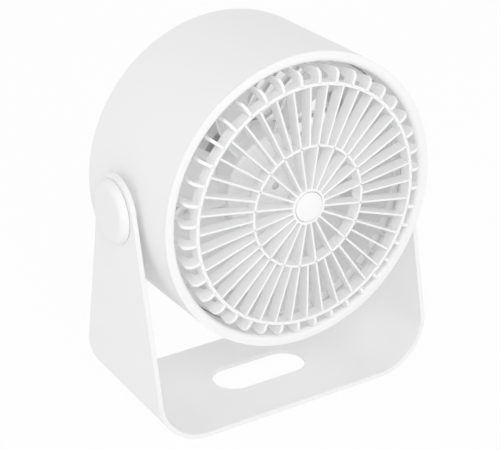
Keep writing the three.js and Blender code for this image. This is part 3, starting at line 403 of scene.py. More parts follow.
ACROSS, ALONG = 3000.0, 80.0
plated_steel = metal_material("plated_steel", (0.62, 0.63, 0.65), 0.28, 0.25, (ACROSS, ALONG, ACROSS))
finish_nodes(nylon, "friction_washer_right", "friction_washer_left")
finish_nodes(plated_steel, "pivot_screw_right", "pivot_screw_left")


# ---- Drum housing -------------------------------------------------------------------------------
# The wall of the head: a short drum moulded in matte white plastic that tapers slightly to the front.
# Inside it carries a boss for each pivot screw and four bosses for the screws of the rear cover.
DRUM_WALL = 2.2
DRUM_TAPER = 1.2
DRUM_FRONT_EDGE = 0.35
DRUM_BACK_EDGE = 1.8
DRUM_SEGMENTS = 160
REAR_RIM_DEPTH = 6.0
PIVOT_BOSS_RADIUS = 13.0
PIVOT_BOSS_DEPTH = 10.0
PIVOT_THREAD_RADIUS, PIVOT_THREAD_DEPTH = 2.8, 8.0
COVER_SCREW_CIRCLE = 84.5
COVER_SCREW_ANGLES = (45, 135, 225, 315)
SCREW_BOSS_RADIUS = 4.6
SCREW_BOSS_LENGTH = 14.0
SCREW_HOLE_RADIUS, SCREW_HOLE_DEPTH = 1.6, 10.0
BOSS_SEGMENTS, SCREW_SEGMENTS = 48, 32
SEAT_GAP = 0.3

HEAD = Matrix.Translation(TILT_AXIS)
drum_low, drum_high = (corner / MM - TILT_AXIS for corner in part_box("drum_housing"))
DRUM_RADIUS = drum_high.z
DRUM_FRONT, DRUM_BACK = drum_low.y, drum_high.y
matte_white = skinned_material("matte_white_moulding", (0.93, 0.93, 0.93), 0.5, 2600.0, 0.00003,
                               patch=0.015, spread=0.05)


def about_axis(degrees):
    """Turns about the fan's axis, anticlockwise as seen from the front."""
    return HEAD @ Matrix.Rotation(-math.radians(degrees), 4, "Y")


drum = bmesh.new()
front_radius = DRUM_RADIUS - DRUM_TAPER
turn(drum, softened([
    (front_radius - DRUM_WALL, DRUM_FRONT, DRUM_FRONT_EDGE),
    (front_radius, DRUM_FRONT, DRUM_FRONT_EDGE),
    (DRUM_RADIUS, DRUM_BACK, DRUM_BACK_EDGE),
    (DRUM_RADIUS - DRUM_WALL, DRUM_BACK, SMALL_EDGE),
    (DRUM_RADIUS - DRUM_WALL, DRUM_BACK - REAR_RIM_DEPTH, 0),
], 5), DRUM_SEGMENTS, HEAD)
for degrees in (0, 180):
    sideways = HEAD @ Matrix.Rotation(math.radians(degrees - 90), 4, "Z")
    turn(drum, softened([
        (0, drum_high.x - PIVOT_BOSS_DEPTH, 0), (PIVOT_BOSS_RADIUS, drum_high.x - PIVOT_BOSS_DEPTH, 0),
        (PIVOT_BOSS_RADIUS, drum_high.x, SOFT_EDGE), (PIVOT_THREAD_RADIUS, drum_high.x, FINE_EDGE),
        (PIVOT_THREAD_RADIUS, drum_high.x - PIVOT_THREAD_DEPTH, 0), (0, drum_high.x - PIVOT_THREAD_DEPTH, 0),
    ]), BOSS_SEGMENTS, sideways)
boss_back = DRUM_BACK - REAR_RIM_DEPTH - SEAT_GAP
boss_front = boss_back - SCREW_BOSS_LENGTH
hole_end = boss_back - SCREW_HOLE_DEPTH
for degrees in COVER_SCREW_ANGLES:
    boss_place = about_axis(degrees) @ Matrix.Translation((COVER_SCREW_CIRCLE, 0, 0))
    turn(drum, softened([
        (SCREW_HOLE_RADIUS, hole_end, 0), (SCREW_HOLE_RADIUS, boss_back, FINE_EDGE),
        (SCREW_BOSS_RADIUS, boss_back, FINE_EDGE), (SCREW_BOSS_RADIUS, boss_front, FINE_EDGE),
        (0, boss_front, 0), (0, hole_end, 0),
    ]), SCREW_SEGMENTS, boss_place)
add_piece("drum_wall", drum, "head", ["drum_housing"], matte_white)


# ---- Pivot caps ---------------------------------------------------------------------------------
# Round caps in the same matte plastic that clip over the pivot screws outside the arms.
CAP_EDGE = 4.0
CAP_FACE = 1.6
CAP_BORE = 5.8
CAP_SEGMENTS = 96
for side, degrees in (("right", -90), ("left", 90)):
    node = "pivot_cap_" + side
    size = size_of(node)
    outer_face = (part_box(node)[1].x if side == "right" else -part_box(node)[0].x) / MM
    cap = bmesh.new()
    turn(cap, softened([
        (0, outer_face - CAP_FACE, 0), (CAP_BORE, outer_face - CAP_FACE, 0),
        (CAP_BORE, outer_face - size.x, SLIGHT_EDGE), (size.y / 2, outer_face - size.x, FINE_EDGE),
        (size.y / 2, outer_face, CAP_EDGE), (0, outer_face, 0),
    ], 6), CAP_SEGMENTS, HEAD @ Matrix.Rotation(math.radians(degrees), 4, "Z"))
    add_piece(node + "_cover", cap, "head", [node], matte_white)


# ---- Air duct -----------------------------------------------------------------------------------
# A thin moulded tube round the blade tips, centred in the drum by its flange.
duct_low, duct_high = (corner / MM - TILT_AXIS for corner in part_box("air_duct"))
DUCT_RADIUS = 79.0
DUCT_WALL = 1.6
duct = bmesh.new()
turn(duct, softened([
    (DUCT_RADIUS, duct_low.y, SMALL_EDGE), (duct_high.x, duct_low.y, FINE_EDGE),
    (duct_high.x, duct_low.y + DUCT_WALL, FINE_EDGE), (DUCT_RADIUS + DUCT_WALL, duct_low.y + DUCT_WALL, 0),
    (DUCT_RADIUS + DUCT_WALL, duct_high.y, SMALL_EDGE), (DUCT_RADIUS, duct_high.y, SMALL_EDGE),
]), DRUM_SEGMENTS, HEAD)
add_piece("duct_tube", duct, "head", ["air_duct"], matte_white)


# ---- Motor --------------------------------------------------------------------------------------
# A small outer-rotor motor on the front of the rear cover's pod: laminated stator with enamelled
# copper windings round a bronze sleeve, and a pressed steel yoke with a ferrite ring that turns.
laminations = metal_material("stator_laminations", (0.22, 0.23, 0.25), 0.5, 0.5, (ALONG, ACROSS, ALONG))
copper_wire = metal_material("enamelled_copper_wire", (0.55, 0.23, 0.09), 0.3, 0.6, (ALONG, ACROSS, ACROSS),
                             depth=0.00006)
bronze = metal_material("sintered_bronze", (0.60, 0.42, 0.18), 0.5, 0.3, (ACROSS, ACROSS, ACROSS))
pressed_steel = metal_material("pressed_yoke_steel", (0.78, 0.78, 0.79), 0.4, 0.3, (ACROSS, ALONG, ACROSS))
ferrite = skinned_material("ferrite", (0.03, 0.03, 0.032), 0.6, 1600.0, 0.00004, patch=0.3, spread=0.15)
finish_nodes(plated_steel, "motor_plate", "motor_screw_1", "motor_screw_2", "motor_screw_3",
             "motor_shaft", "shaft_clip")
finish_nodes(bronze, "bearing_sleeve")
finish_nodes(laminations, "stator_core")
finish_nodes(copper_wire, *[f"stator_coil_{number}" for number in range(1, 5)])
finish_nodes(pressed_steel, "rotor_yoke")
finish_nodes(ferrite, "ring_magnet")


# ---- Impeller -----------------------------------------------------------------------------------
# Hub and broad pitched blades moulded in one in glossy white plastic. The hub is a cup over the yoke,
# and the end of the shaft shows in a small hole in the middle of its face.
HUB_EDGE = 2.2
HUB_WALL = 1.6
HUB_FACE = 2.0
HUB_FILLET = 0.6
SHAFT_HOLE_RADIUS, SHAFT_HOLE_EDGE = 2.3, 0.25
BLADE_COUNT = 7
BLADE_THICKNESS = 1.8
ROOT_CHORD, TIP_CHORD = 31.0, 54.0
ROOT_PITCH, TIP_PITCH = math.radians(-38), math.radians(-24)
BLADE_SWEEP = math.radians(-14)
BLADE_PHASE = math.radians(14)
BLADE_CAMBER = 0.09
BLADE_ROOT_FILLET, BLADE_ROOT_SWELL = 1.6, 1.2
BLADE_SQUARENESS = 20
BLADE_EDGE = 0.35
HUB_SEGMENTS = 120
CHORD_STEPS, SPAN_STEPS = 22, 14
TIP_RADIUS = 76.0

impeller_low, impeller_high = (corner / MM - TILT_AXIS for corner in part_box("impeller"))
HUB_RADIUS = 32.8
HUB_FRONT, HUB_BACK = impeller_low.y, impeller_high.y
gloss_white = skinned_material("gloss_white_moulding", (0.94, 0.94, 0.94), 0.2, 420.0, 0.000012,
                               patch=0.01, spread=0.06)


def blade_point(share, side, along, blade):
    """A point of a blade's skin: share runs over the chord, side is up or down, along root to tip."""
    radius = HUB_RADIUS - HUB_WALL / 2 + (TIP_RADIUS - HUB_RADIUS + HUB_WALL / 2) * along
    chord = ROOT_CHORD + (TIP_CHORD - ROOT_CHORD) * along
    pitch = ROOT_PITCH + (TIP_PITCH - ROOT_PITCH) * along
    fillet = 1 + BLADE_ROOT_SWELL * math.exp(-max(radius - HUB_RADIUS, 0) / BLADE_ROOT_FILLET)
    half = BLADE_THICKNESS / 2 * fillet * math.sqrt(max(0.0, 1 - abs(2 * share) ** BLADE_SQUARENESS))
    across = chord * share
    up = chord * BLADE_CAMBER * (1 - 4 * share * share) + side * half
    around = across * math.cos(pitch) - up * math.sin(pitch)
    height = across * math.sin(pitch) + up * math.cos(pitch)
    angle = around / radius + BLADE_SWEEP * along * along + BLADE_PHASE + blade * 2 * math.pi / BLADE_COUNT
    back = (HUB_FRONT + HUB_BACK) / 2 + height
    return HEAD @ Vector((radius * math.cos(angle), back, radius * math.sin(angle)))


spinner = bmesh.new()
turn(spinner, softened([
    (SHAFT_HOLE_RADIUS, HUB_FRONT, SHAFT_HOLE_EDGE), (HUB_RADIUS, HUB_FRONT, HUB_EDGE),
    (HUB_RADIUS, HUB_BACK, SMALL_EDGE), (HUB_RADIUS - HUB_WALL, HUB_BACK, SMALL_EDGE),
    (HUB_RADIUS - HUB_WALL, HUB_FRONT + HUB_FACE, HUB_FILLET),
    (SHAFT_HOLE_RADIUS, HUB_FRONT + HUB_FACE, SLIGHT_EDGE),
], 6), HUB_SEGMENTS, HEAD)
section = [(-math.cos(math.pi * k / CHORD_STEPS) / 2, 1) for k in range(CHORD_STEPS + 1)]
section += [(share, -1) for share, _ in reversed(section[1:-1])]
for blade in range(BLADE_COUNT):
    rows = [[spinner.verts.new(blade_point(share, side, step / SPAN_STEPS, blade)) for share, side in section]
            for step in range(SPAN_STEPS + 1)]
    spinner.faces.new(rows[0])
    spinner.faces.new(rows[-1])
    for row, following in zip(rows, rows[1:]):
        for k in range(len(section)):
            ahead = (k + 1) % len(section)
            spinner.faces.new([row[k], row[ahead], following[ahead], following[k]])
add_piece("impeller_blades", spinner, "impeller", ["impeller"], gloss_white, edge=BLADE_EDGE)


# ---- Rear cover ---------------------------------------------------------------------------------
# A matte moulding of close spokes and a ring that lets the air in, with a rim that sits in the drum.
# The pod in its middle carries the motor in front and the controls behind.
RIM_INSIDE = 79.9
REAR_FACE = 4.0
RING_RADIUS = 55.45
RING_WIDTH = 2.4
SPOKE_COUNT = 36
SPOKE_THICKNESS = 2.4
POD_RADIUS = 31.0
POD_WALL = 2.0
POD_BORE = 4.55
SCREW_HEAD_POCKET = 3.1
SCREW_POCKET_DEPTH = 1.9
SCREW_BORE, SCREW_BORE_DEPTH = 1.6, 9.0
PAST_FACE = 1.0
POD_EDGE = 1.0
SPOKE_INTO_POD, SPOKE_INTO_RIM = 1.0, 1.5
COVER_EDGE = 0.4


def solid_part(shape, cutters):
    """The shape with the cutters taken out of it, as a mesh. All are drawn in millimetres."""
    made = []
    for source, name in ((shape, "body"), (cutters, "cutters")):
        bmesh.ops.recalc_face_normals(source, faces=source.faces)
        mesh = bpy.data.meshes.new(name)
        source.to_mesh(mesh)
        source.free()
        made.append(bpy.data.objects.new(name, mesh))
        bpy.context.scene.collection.objects.link(made[-1])
    body, tools = made
    taking = body.modifiers.new("taking_out", "BOOLEAN")
    taking.operation = "DIFFERENCE"
    taking.solver = "EXACT"
    taking.object = tools
    bpy.context.view_layer.update()
    result = bpy.data.meshes.new_from_object(body.evaluated_get(bpy.context.evaluated_depsgraph_get()))
    for thing in made:
        bpy.data.objects.remove(thing)
    return result


def standing_plate(shape, outline, thickness, place):
    """A plate on a radius of the fan's axis, with an outline of (radius, along) points."""
    sides = []
    for out in (-thickness / 2, thickness / 2):
        sides.append([shape.verts.new(place @ Vector((radius, along, out))) for radius, along in outline])
    shape.faces.new(sides[0])
    shape.faces.new(list(reversed(sides[1])))
    for k in range(len(outline)):
        ahead = (k + 1) % len(outline)
        shape.faces.new([sides[0][k], sides[0][ahead], sides[1][ahead], sides[1][k]])


cover_low, cover_high = (corner / MM - TILT_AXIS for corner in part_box("rear_cover"))
COVER_FRONT, COVER_BACK = cover_low.y, cover_high.y
rim = bmesh.new()
turn(rim, softened([
    (RIM_INSIDE, COVER_BACK - REAR_RIM_DEPTH, SMALL_EDGE),
    (cover_high.x, COVER_BACK - REAR_RIM_DEPTH, SMALL_EDGE),
    (cover_high.x, COVER_BACK, SOFT_EDGE), (RIM_INSIDE, COVER_BACK, SOFT_EDGE),
]), DRUM_SEGMENTS, HEAD)
pockets = bmesh.new()
for degrees in COVER_SCREW_ANGLES:
    pocket_place = about_axis(degrees) @ Matrix.Translation((COVER_SCREW_CIRCLE, 0, 0))
    turn(pockets, [
        (0, COVER_BACK - SCREW_BORE_DEPTH), (SCREW_BORE, COVER_BACK - SCREW_BORE_DEPTH),
        (SCREW_BORE, COVER_BACK - SCREW_POCKET_DEPTH), (SCREW_HEAD_POCKET, COVER_BACK - SCREW_POCKET_DEPTH),
        (SCREW_HEAD_POCKET, COVER_BACK + PAST_FACE), (0, COVER_BACK + PAST_FACE),
    ], SCREW_SEGMENTS, pocket_place)
cover = bmesh.new()
cover.from_mesh(solid_part(rim, pockets))
face_front = COVER_BACK - REAR_FACE
ring_from, ring_to = RING_RADIUS - RING_WIDTH / 2, RING_RADIUS + RING_WIDTH / 2
turn(cover, softened([(ring_from, face_front, SMALL_EDGE), (ring_to, face_front, SMALL_EDGE),
                      (ring_to, COVER_BACK, SOFT_EDGE), (ring_from, COVER_BACK, SOFT_EDGE)], 3),
     HUB_SEGMENTS, HEAD)
spoke_from, spoke_to = POD_RADIUS - SPOKE_INTO_POD, RIM_INSIDE + SPOKE_INTO_RIM
spoke = [(spoke_from, face_front), (spoke_to, face_front), (spoke_to, COVER_BACK), (spoke_from, COVER_BACK)]
for number in range(SPOKE_COUNT):
    standing_plate(cover, spoke, SPOKE_THICKNESS, about_axis(number * 360 / SPOKE_COUNT))
turn(cover, softened([
    (POD_BORE, COVER_FRONT, FINE_EDGE), (POD_RADIUS, COVER_FRONT, POD_EDGE),
    (POD_RADIUS, COVER_BACK, SOFT_EDGE), (POD_RADIUS - POD_WALL, COVER_BACK, SMALL_EDGE),
    (POD_RADIUS - POD_WALL, COVER_FRONT + POD_WALL, 0), (POD_BORE, COVER_FRONT + POD_WALL, 0),
]), HUB_SEGMENTS, HEAD)
add_piece("rear_cover_moulding", cover, "head", ["rear_cover"], matte_white, edge=COVER_EDGE)


# ---- Cover screws -------------------------------------------------------------------------------
# Plated pan-head screws with a cross recess, sunk in the rim of the rear cover.
RECESS_LENGTH = 3.2
RECESS_WIDTH = 0.75
RECESS_DEPTH = 1.0
RECESS_TURN = 35
THREAD_RADIUS, THREAD_END = 1.3, 0.5
HEAD_RADIUS, HEAD_HEIGHT = 2.8, 1.6
HEAD_ROUND, HEAD_LOWER_EDGE = 0.75, 0.1
for number in range(1, 5):
    node = f"cover_screw_{number}"
    middle, size = middle_of(node), size_of(node)
    axis_place = Matrix.Translation((middle.x, TILT_AXIS.y, middle.z))
    head_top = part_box(node)[1].y / MM - TILT_AXIS.y
    head_bottom = head_top - HEAD_HEIGHT
    screw = bmesh.new()
    turn(screw, softened([
        (0, head_top - size.y, 0), (THREAD_RADIUS, head_top - size.y, THREAD_END),
        (THREAD_RADIUS, head_bottom, 0), (HEAD_RADIUS, head_bottom, HEAD_LOWER_EDGE),
        (HEAD_RADIUS, head_top, HEAD_ROUND), (0, head_top, 0),
    ]), SCREW_SEGMENTS, axis_place)
    for quarter_turn in (0, 1):
        turned_place = axis_place @ Matrix.Translation((0, head_top, 0)) \
            @ Matrix.Rotation(math.radians(RECESS_TURN * number + 90 * quarter_turn), 4, "Y")
        groove = bmesh.new()
        bmesh.ops.create_cube(groove, size=1.0, matrix=turned_place @ Matrix.Diagonal(
            (RECESS_LENGTH, 2 * RECESS_DEPTH, RECESS_WIDTH, 1)))
        grooved = bmesh.new()
        grooved.from_mesh(solid_part(screw, groove))
        screw = grooved
    add_piece(node + "_recessed", screw, "head", [node], plated_steel)


# ---- Controls -----------------------------------------------------------------------------------
# A lid closes the pod. Behind it a small coated board carries the switch under the round push button
# and the metal shell of the power socket.
LID_THICKNESS = 2.0
BUTTON_HOLE = 5.85
BUTTON_HEIGHT = 9.0
BUTTON_RADIUS, BUTTON_EDGE, BUTTON_SEGMENTS = 5.5, 0.7, 64
FLANGE_RADIUS, FLANGE_THICKNESS = 7.0, 1.2
DISH_RADIUS, DISH_FLOOR_RADIUS, DISH_EDGE = 4.2, 2.4, 0.8
DISH_DEPTH, DISH_MIDDLE_DEPTH = 0.3, 0.35
TONGUE_WIDTH, TONGUE_LENGTH, TONGUE_THICKNESS = 6.6, 6.0, 0.7
TONGUE_MIDDLE, TONGUE_EDGE = 3.8, 0.12
INLET_WIDTH, INLET_HEIGHT = 8.9, 3.3
INLET_WALL = 0.35
INLET_BACK_WALL = 1.0
INLET_CLEARANCE = 0.6
HOLE_DEPTH = 4.0
LID_EDGE = 0.2
POST_RADIUS, POST_X, POST_Z = 2.2, 11.0, 15.0
POST_INTO_LID = 1.0
POST_SEGMENTS = 24
STADIUM_STEPS = 12


def stadium_prism(shape, width, height, start, end, place, hollow=0.0):
    """A prism along Y with round ends; with hollow it is a tube of that wall with a closed front."""
    def outline(inset, along):
        radius = height / 2 - inset
        straight = (width - height) / 2
        points = []
        for end_sign, from_angle in ((1, -math.pi / 2), (-1, math.pi / 2)):
            for step in range(STADIUM_STEPS + 1):
                angle = from_angle + math.pi * step / STADIUM_STEPS
                points.append(place @ Vector((end_sign * straight + radius * math.cos(angle), along,
                                              radius * math.sin(angle))))
        return [shape.verts.new(point) for point in points]

    levels = [(0.0, start), (0.0, end)]
    if hollow:
        levels += [(hollow, end), (hollow, start + INLET_BACK_WALL)]
    rings = [outline(*level) for level in levels]
    for ring, following in zip(rings, rings[1:]):
        for k in range(len(ring)):
            ahead = (k + 1) % len(ring)
            shape.faces.new([ring[k], ring[ahead], following[ahead], following[k]])
    shape.faces.new(rings[0])
    shape.faces.new(rings[-1])


lid_low, lid_high = (corner / MM - TILT_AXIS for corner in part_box("control_lid"))
lid = bmesh.new()
turn(lid, softened([
    (0, lid_high.y - LID_THICKNESS, 0), (lid_high.x, lid_high.y - LID_THICKNESS, SLIGHT_EDGE),
    (lid_high.x, lid_high.y, SMALL_EDGE), (0, lid_high.y, 0),
]), HUB_SEGMENTS, HEAD)
button_place = HEAD @ Matrix.Translation((0, 0, BUTTON_HEIGHT))
inlet_place = HEAD @ Matrix.Translation((0, 0, -BUTTON_HEIGHT))
hole_from, hole_to = lid_high.y - HOLE_DEPTH, lid_high.y + PAST_FACE
holes = bmesh.new()
turn(holes, [(0, hole_from), (BUTTON_HOLE, hole_from), (BUTTON_HOLE, hole_to), (0, hole_to)],
     BOSS_SEGMENTS, button_place)
stadium_prism(holes, INLET_WIDTH + INLET_CLEARANCE, INLET_HEIGHT + INLET_CLEARANCE, hole_from, hole_to,
              inlet_place)
lid_part = bmesh.new()
lid_part.from_mesh(solid_part(lid, holes))
for side in (-1, 1):
    turn(lid_part, softened([
        (0, lid_low.y, 0), (POST_RADIUS, lid_low.y, FINE_EDGE),
        (POST_RADIUS, lid_high.y - POST_INTO_LID, 0), (0, lid_high.y - POST_INTO_LID, 0),
    ]), POST_SEGMENTS, HEAD @ Matrix.Translation((side * POST_X, 0, side * POST_Z)))
add_piece("pod_lid", lid_part, "head", ["control_lid"], matte_white, edge=LID_EDGE)

button_low, button_high = (corner / MM - TILT_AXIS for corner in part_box("power_button"))
button = bmesh.new()
turn(button, softened([
    (0, button_low.y, 0), (FLANGE_RADIUS, button_low.y, SLIGHT_EDGE),
    (FLANGE_RADIUS, button_low.y + FLANGE_THICKNESS, SLIGHT_EDGE),
    (BUTTON_RADIUS, button_low.y + FLANGE_THICKNESS, 0), (BUTTON_RADIUS, button_high.y, BUTTON_EDGE),
    (DISH_RADIUS, button_high.y, SMALL_EDGE), (DISH_FLOOR_RADIUS, button_high.y - DISH_DEPTH, DISH_EDGE),
    (0, button_high.y - DISH_MIDDLE_DEPTH, 0),
], 5), BUTTON_SEGMENTS, button_place)
add_piece("push_button", button, "button", ["power_button"], gloss_white)

inlet_low, inlet_high = (corner / MM - TILT_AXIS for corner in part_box("power_inlet"))
inlet = bmesh.new()
stadium_prism(inlet, INLET_WIDTH, INLET_HEIGHT, inlet_low.y, inlet_high.y, inlet_place, hollow=INLET_WALL)
add_piece("inlet_shell", inlet, "head", ["power_inlet"], plated_steel)
tongue = bmesh.new()
tongue_place = inlet_place @ Matrix.Translation((0, inlet_low.y + TONGUE_MIDDLE, 0))
bmesh.ops.create_cube(tongue, size=1.0, matrix=tongue_place @ Matrix.Diagonal(
    (TONGUE_WIDTH, TONGUE_LENGTH, TONGUE_THICKNESS, 1)))
black_plastic = skinned_material("black_moulding", (0.03, 0.03, 0.032), 0.4, 2400.0, 0.00002, patch=0.2)
add_piece("inlet_tongue", tongue, "head", None, black_plastic, edge=TONGUE_EDGE)
finish_nodes(black_plastic, "push_switch")


def board_material():
    """Green coated circuit board: copper tracks show as lighter lines under the coating."""
    material = bpy.data.materials.new("coated_board")
    material.use_nodes = True
    tree, link = material.node_tree.nodes, material.node_tree.links.new
    surface = tree["Principled BSDF"]
    place = tree.new("ShaderNodeTexCoord")
    tracks = tree.new("ShaderNodeTexBrick")
    tracks.inputs["Scale"].default_value = 160.0
    tracks.inputs["Mortar Size"].default_value = 0.05
    tracks.inputs["Color1"].default_value = (0.02, 0.12, 0.05, 1)
    tracks.inputs["Color2"].default_value = (0.025, 0.15, 0.06, 1)
    tracks.inputs["Mortar"].default_value = (0.08, 0.30, 0.12, 1)
    link(place.outputs["Object"], tracks.inputs["Vector"])
    link(tracks.outputs["Color"], surface.inputs["Base Color"])
    surface.inputs["Roughness"].default_value = 0.35
    return material


finish_nodes(board_material(), "control_board")


# ---- Front bezel --------------------------------------------------------------------------------
# Glossy white ring with a slightly crowned face that lies flush on the front of the drum and leaves a
# hairline seam. A collar plugs into the drum, and a sleeve runs back inside the mouth to the grille.
BEZEL_MOUTH = 84.4
BEZEL_ROUND = 3.0
BEZEL_FALL = 0.5
BEZEL_EDGE = 0.45
BEZEL_COLLAR = 4.0
BEZEL_SEAM = 0.6
BEZEL_WALL = 1.5
BEZEL_DRAFT = 0.7
bezel_low, bezel_high = (corner / MM - TILT_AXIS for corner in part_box("front_bezel"))
bezel_back = DRUM_FRONT - BEZEL_SEAM
collar_radius = front_radius - DRUM_WALL - SEAT_GAP
bezel = bmesh.new()
turn(bezel, softened([
    (bezel_high.x, bezel_back, 0),
    (bezel_high.x, bezel_low.y + BEZEL_FALL, BEZEL_EDGE),
    (BEZEL_MOUTH, bezel_low.y, BEZEL_ROUND),
    (BEZEL_MOUTH - BEZEL_DRAFT, bezel_high.y, FINE_EDGE),
    (BEZEL_MOUTH - BEZEL_DRAFT + BEZEL_WALL, bezel_high.y, FINE_EDGE),
    (BEZEL_MOUTH + BEZEL_WALL, bezel_back + BEZEL_COLLAR, 0),
    (collar_radius, bezel_back + BEZEL_COLLAR, FINE_EDGE),
    (collar_radius, bezel_back, 0),
], 8), DRUM_SEGMENTS, HEAD)
add_piece("bezel_ring", bezel, "head", ["front_bezel"], gloss_white)


# ---- Front grille -------------------------------------------------------------------------------
# One deep glossy moulding: thin ribs stand between two hoops and the hub, and beyond the outer hoop a
# staggered fin leaves at each half pitch, bends back and runs to the base ring inside the bezel.
GRILLE_DEPTH = 8.5
OUTER_HOOP, OUTER_HOOP_WIDTH = 73.5, 2.1
INNER_HOOP, INNER_HOOP_WIDTH = 37.1, 1.6
RIB_COUNT = 40
RIB_THICKNESS = 1.3
FIN_THICKNESS = 2.0
FIN_RADIUS = 82.3
FIN_BEND = 5.0
FIN_BEND_STEPS = 10
FIN_LEG = 6.0
FIN_LEAN = 2.0
BASE_RING_HEIGHT = 2.6
BASE_RING_WIDTH = 5.2
GRILLE_HUB, GRILLE_HUB_EDGE = 11.2, 0.6
RIB_INTO_HUB = 0.8
RIB_EDGE = 0.35
THIN_EDGE = 0.25
BADGE_RADIUS = 9.1
BADGE_POCKET = 2.4
BADGE_SEGMENTS = 80
grille_low, grille_high = (corner / MM - TILT_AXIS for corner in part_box("front_grille"))
GRILLE_FRONT = grille_low.y
GRILLE_BACK = GRILLE_FRONT + GRILLE_DEPTH
gloss_rib = skinned_material("gloss_white_grille", (0.95, 0.95, 0.95), 0.22, 420.0, 0.00001,
                             patch=0.01, spread=0.05)


def hoop(shape, radius, width, front, back, edge, segments):
    inner, outer = radius - width / 2, radius + width / 2
    turn(shape, softened([
        (inner, front, edge), (outer, front, edge), (outer, back, THIN_EDGE), (inner, back, THIN_EDGE),
    ]), segments, HEAD)


grille = bmesh.new()
hoop(grille, OUTER_HOOP, OUTER_HOOP_WIDTH, GRILLE_FRONT, GRILLE_BACK, SOFT_EDGE, DRUM_SEGMENTS)
hoop(grille, INNER_HOOP, INNER_HOOP_WIDTH, GRILLE_FRONT, GRILLE_BACK, SMALL_EDGE, HUB_SEGMENTS)
ring_outside = grille_high.x
ring_inside = ring_outside - BASE_RING_WIDTH
hoop(grille, (ring_inside + ring_outside) / 2, ring_outside - ring_inside,
     grille_high.y - BASE_RING_HEIGHT, grille_high.y, FINE_EDGE, DRUM_SEGMENTS)
turn(grille, softened([
    (0, GRILLE_FRONT + BADGE_POCKET, 0), (BADGE_RADIUS + SEAT_GAP, GRILLE_FRONT + BADGE_POCKET, 0),
    (BADGE_RADIUS + SEAT_GAP, GRILLE_FRONT, THIN_EDGE), (GRILLE_HUB, GRILLE_FRONT, GRILLE_HUB_EDGE),
    (GRILLE_HUB, GRILLE_BACK, SMALL_EDGE), (0, GRILLE_BACK, 0),
], 5), BADGE_SEGMENTS, HEAD)
fin_outline = [(OUTER_HOOP, GRILLE_BACK), (OUTER_HOOP, GRILLE_FRONT)]
for step in range(FIN_BEND_STEPS + 1):
    angle = math.pi / 2 * step / FIN_BEND_STEPS
    fin_outline.append((FIN_RADIUS - FIN_BEND + FIN_BEND * math.sin(angle),
                        GRILLE_FRONT + FIN_BEND - FIN_BEND * math.cos(angle)))
fin_end = grille_high.y - BASE_RING_HEIGHT / 2
fin_outline += [(FIN_RADIUS - FIN_LEAN, fin_end), (ring_inside, fin_end), (FIN_RADIUS - FIN_LEG, GRILLE_BACK)]
for number in range(RIB_COUNT):
    start = INNER_HOOP if number % 2 == 0 else GRILLE_HUB - RIB_INTO_HUB
    rib = [(start, GRILLE_FRONT), (OUTER_HOOP, GRILLE_FRONT), (OUTER_HOOP, GRILLE_BACK), (start, GRILLE_BACK)]
    standing_plate(grille, rib, RIB_THICKNESS, about_axis(number * 360 / RIB_COUNT))
    standing_plate(grille, fin_outline, FIN_THICKNESS, about_axis((number + 0.5) * 360 / RIB_COUNT))
add_piece("grille_moulding", grille, "head", ["front_grille"], gloss_rib, edge=RIB_EDGE,
          edge_steps=2)


# ---- Grille badge -------------------------------------------------------------------------------
# Plain glossy disc, slightly domed, pressed into the pocket of the grille's hub.
DOME_STEPS = 10
BADGE_EDGE = 0.12
badge_low, badge_high = (corner / MM - TILT_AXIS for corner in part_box("grille_badge"))
dome_height = GRILLE_FRONT - badge_low.y
dome_radius = BADGE_RADIUS - BADGE_EDGE
dome = [(dome_radius + BADGE_EDGE * math.cos(angle), GRILLE_FRONT + BADGE_EDGE * (1 - math.sin(angle)))
        for angle in (0, math.pi / 6, math.pi / 3)]
for step in range(DOME_STEPS + 1):
    share = step / DOME_STEPS
    dome.append((dome_radius * (1 - share), GRILLE_FRONT - dome_height * (1 - (1 - share) ** 2)))
disc = bmesh.new()
turn(disc, [(0, badge_high.y), (BADGE_RADIUS, badge_high.y)] + dome, BADGE_SEGMENTS, HEAD)
add_piece("badge_disc", disc, "head", ["grille_badge"], gloss_rib)


# ---- Floor, light and camera --------------------------------------------------------------------
# A plain pale floor in a white surrounding, lit softly from the front, the left and above. It is seen
# nearly white, and a soft streak of it behind the fan is seen in its own shade, through the rear cover.
def ray_is(tree, *kinds):
    """1 for a ray of any of these kinds."""
    path = tree.nodes.new("ShaderNodeLightPath")
    total = path.outputs[kinds[0]]
    for kind in kinds[1:]:
        either = tree.nodes.new("ShaderNodeMath")
        either.operation = "MAXIMUM"
        tree.links.new(total, either.inputs[0])
        tree.links.new(path.outputs[kind], either.inputs[1])
        total = either.outputs[0]
    return total


SEEN_BY = ("Is Camera Ray", "Is Glossy Ray", "Is Transmission Ray")
LIGHT_FROM_SIDES = 1.0
LIGHT_FROM_ABOVE = 0.55
world = bpy.data.worlds.new("studio")
bpy.context.scene.world = world
world.use_nodes = True
around, link = world.node_tree.nodes, world.node_tree.links.new
ambient = around["Background"]
ambient.inputs["Color"].default_value = (1, 1, 1, 1)
direction = around.new("ShaderNodeTexCoord")
height = around.new("ShaderNodeSeparateXYZ")
link(direction.outputs["Generated"], height.inputs["Vector"])
dome = around.new("ShaderNodeMapRange")
dome.inputs["To Min"].default_value = LIGHT_FROM_SIDES
dome.inputs["To Max"].default_value = LIGHT_FROM_ABOVE
link(height.outputs["Z"], dome.inputs["Value"])
strength = around.new("ShaderNodeMapRange")
strength.inputs["To Max"].default_value = 1.0
link(dome.outputs["Result"], strength.inputs["To Min"])
link(ray_is(world.node_tree, *SEEN_BY), strength.inputs["Value"])
link(strength.outputs["Result"], ambient.inputs["Strength"])

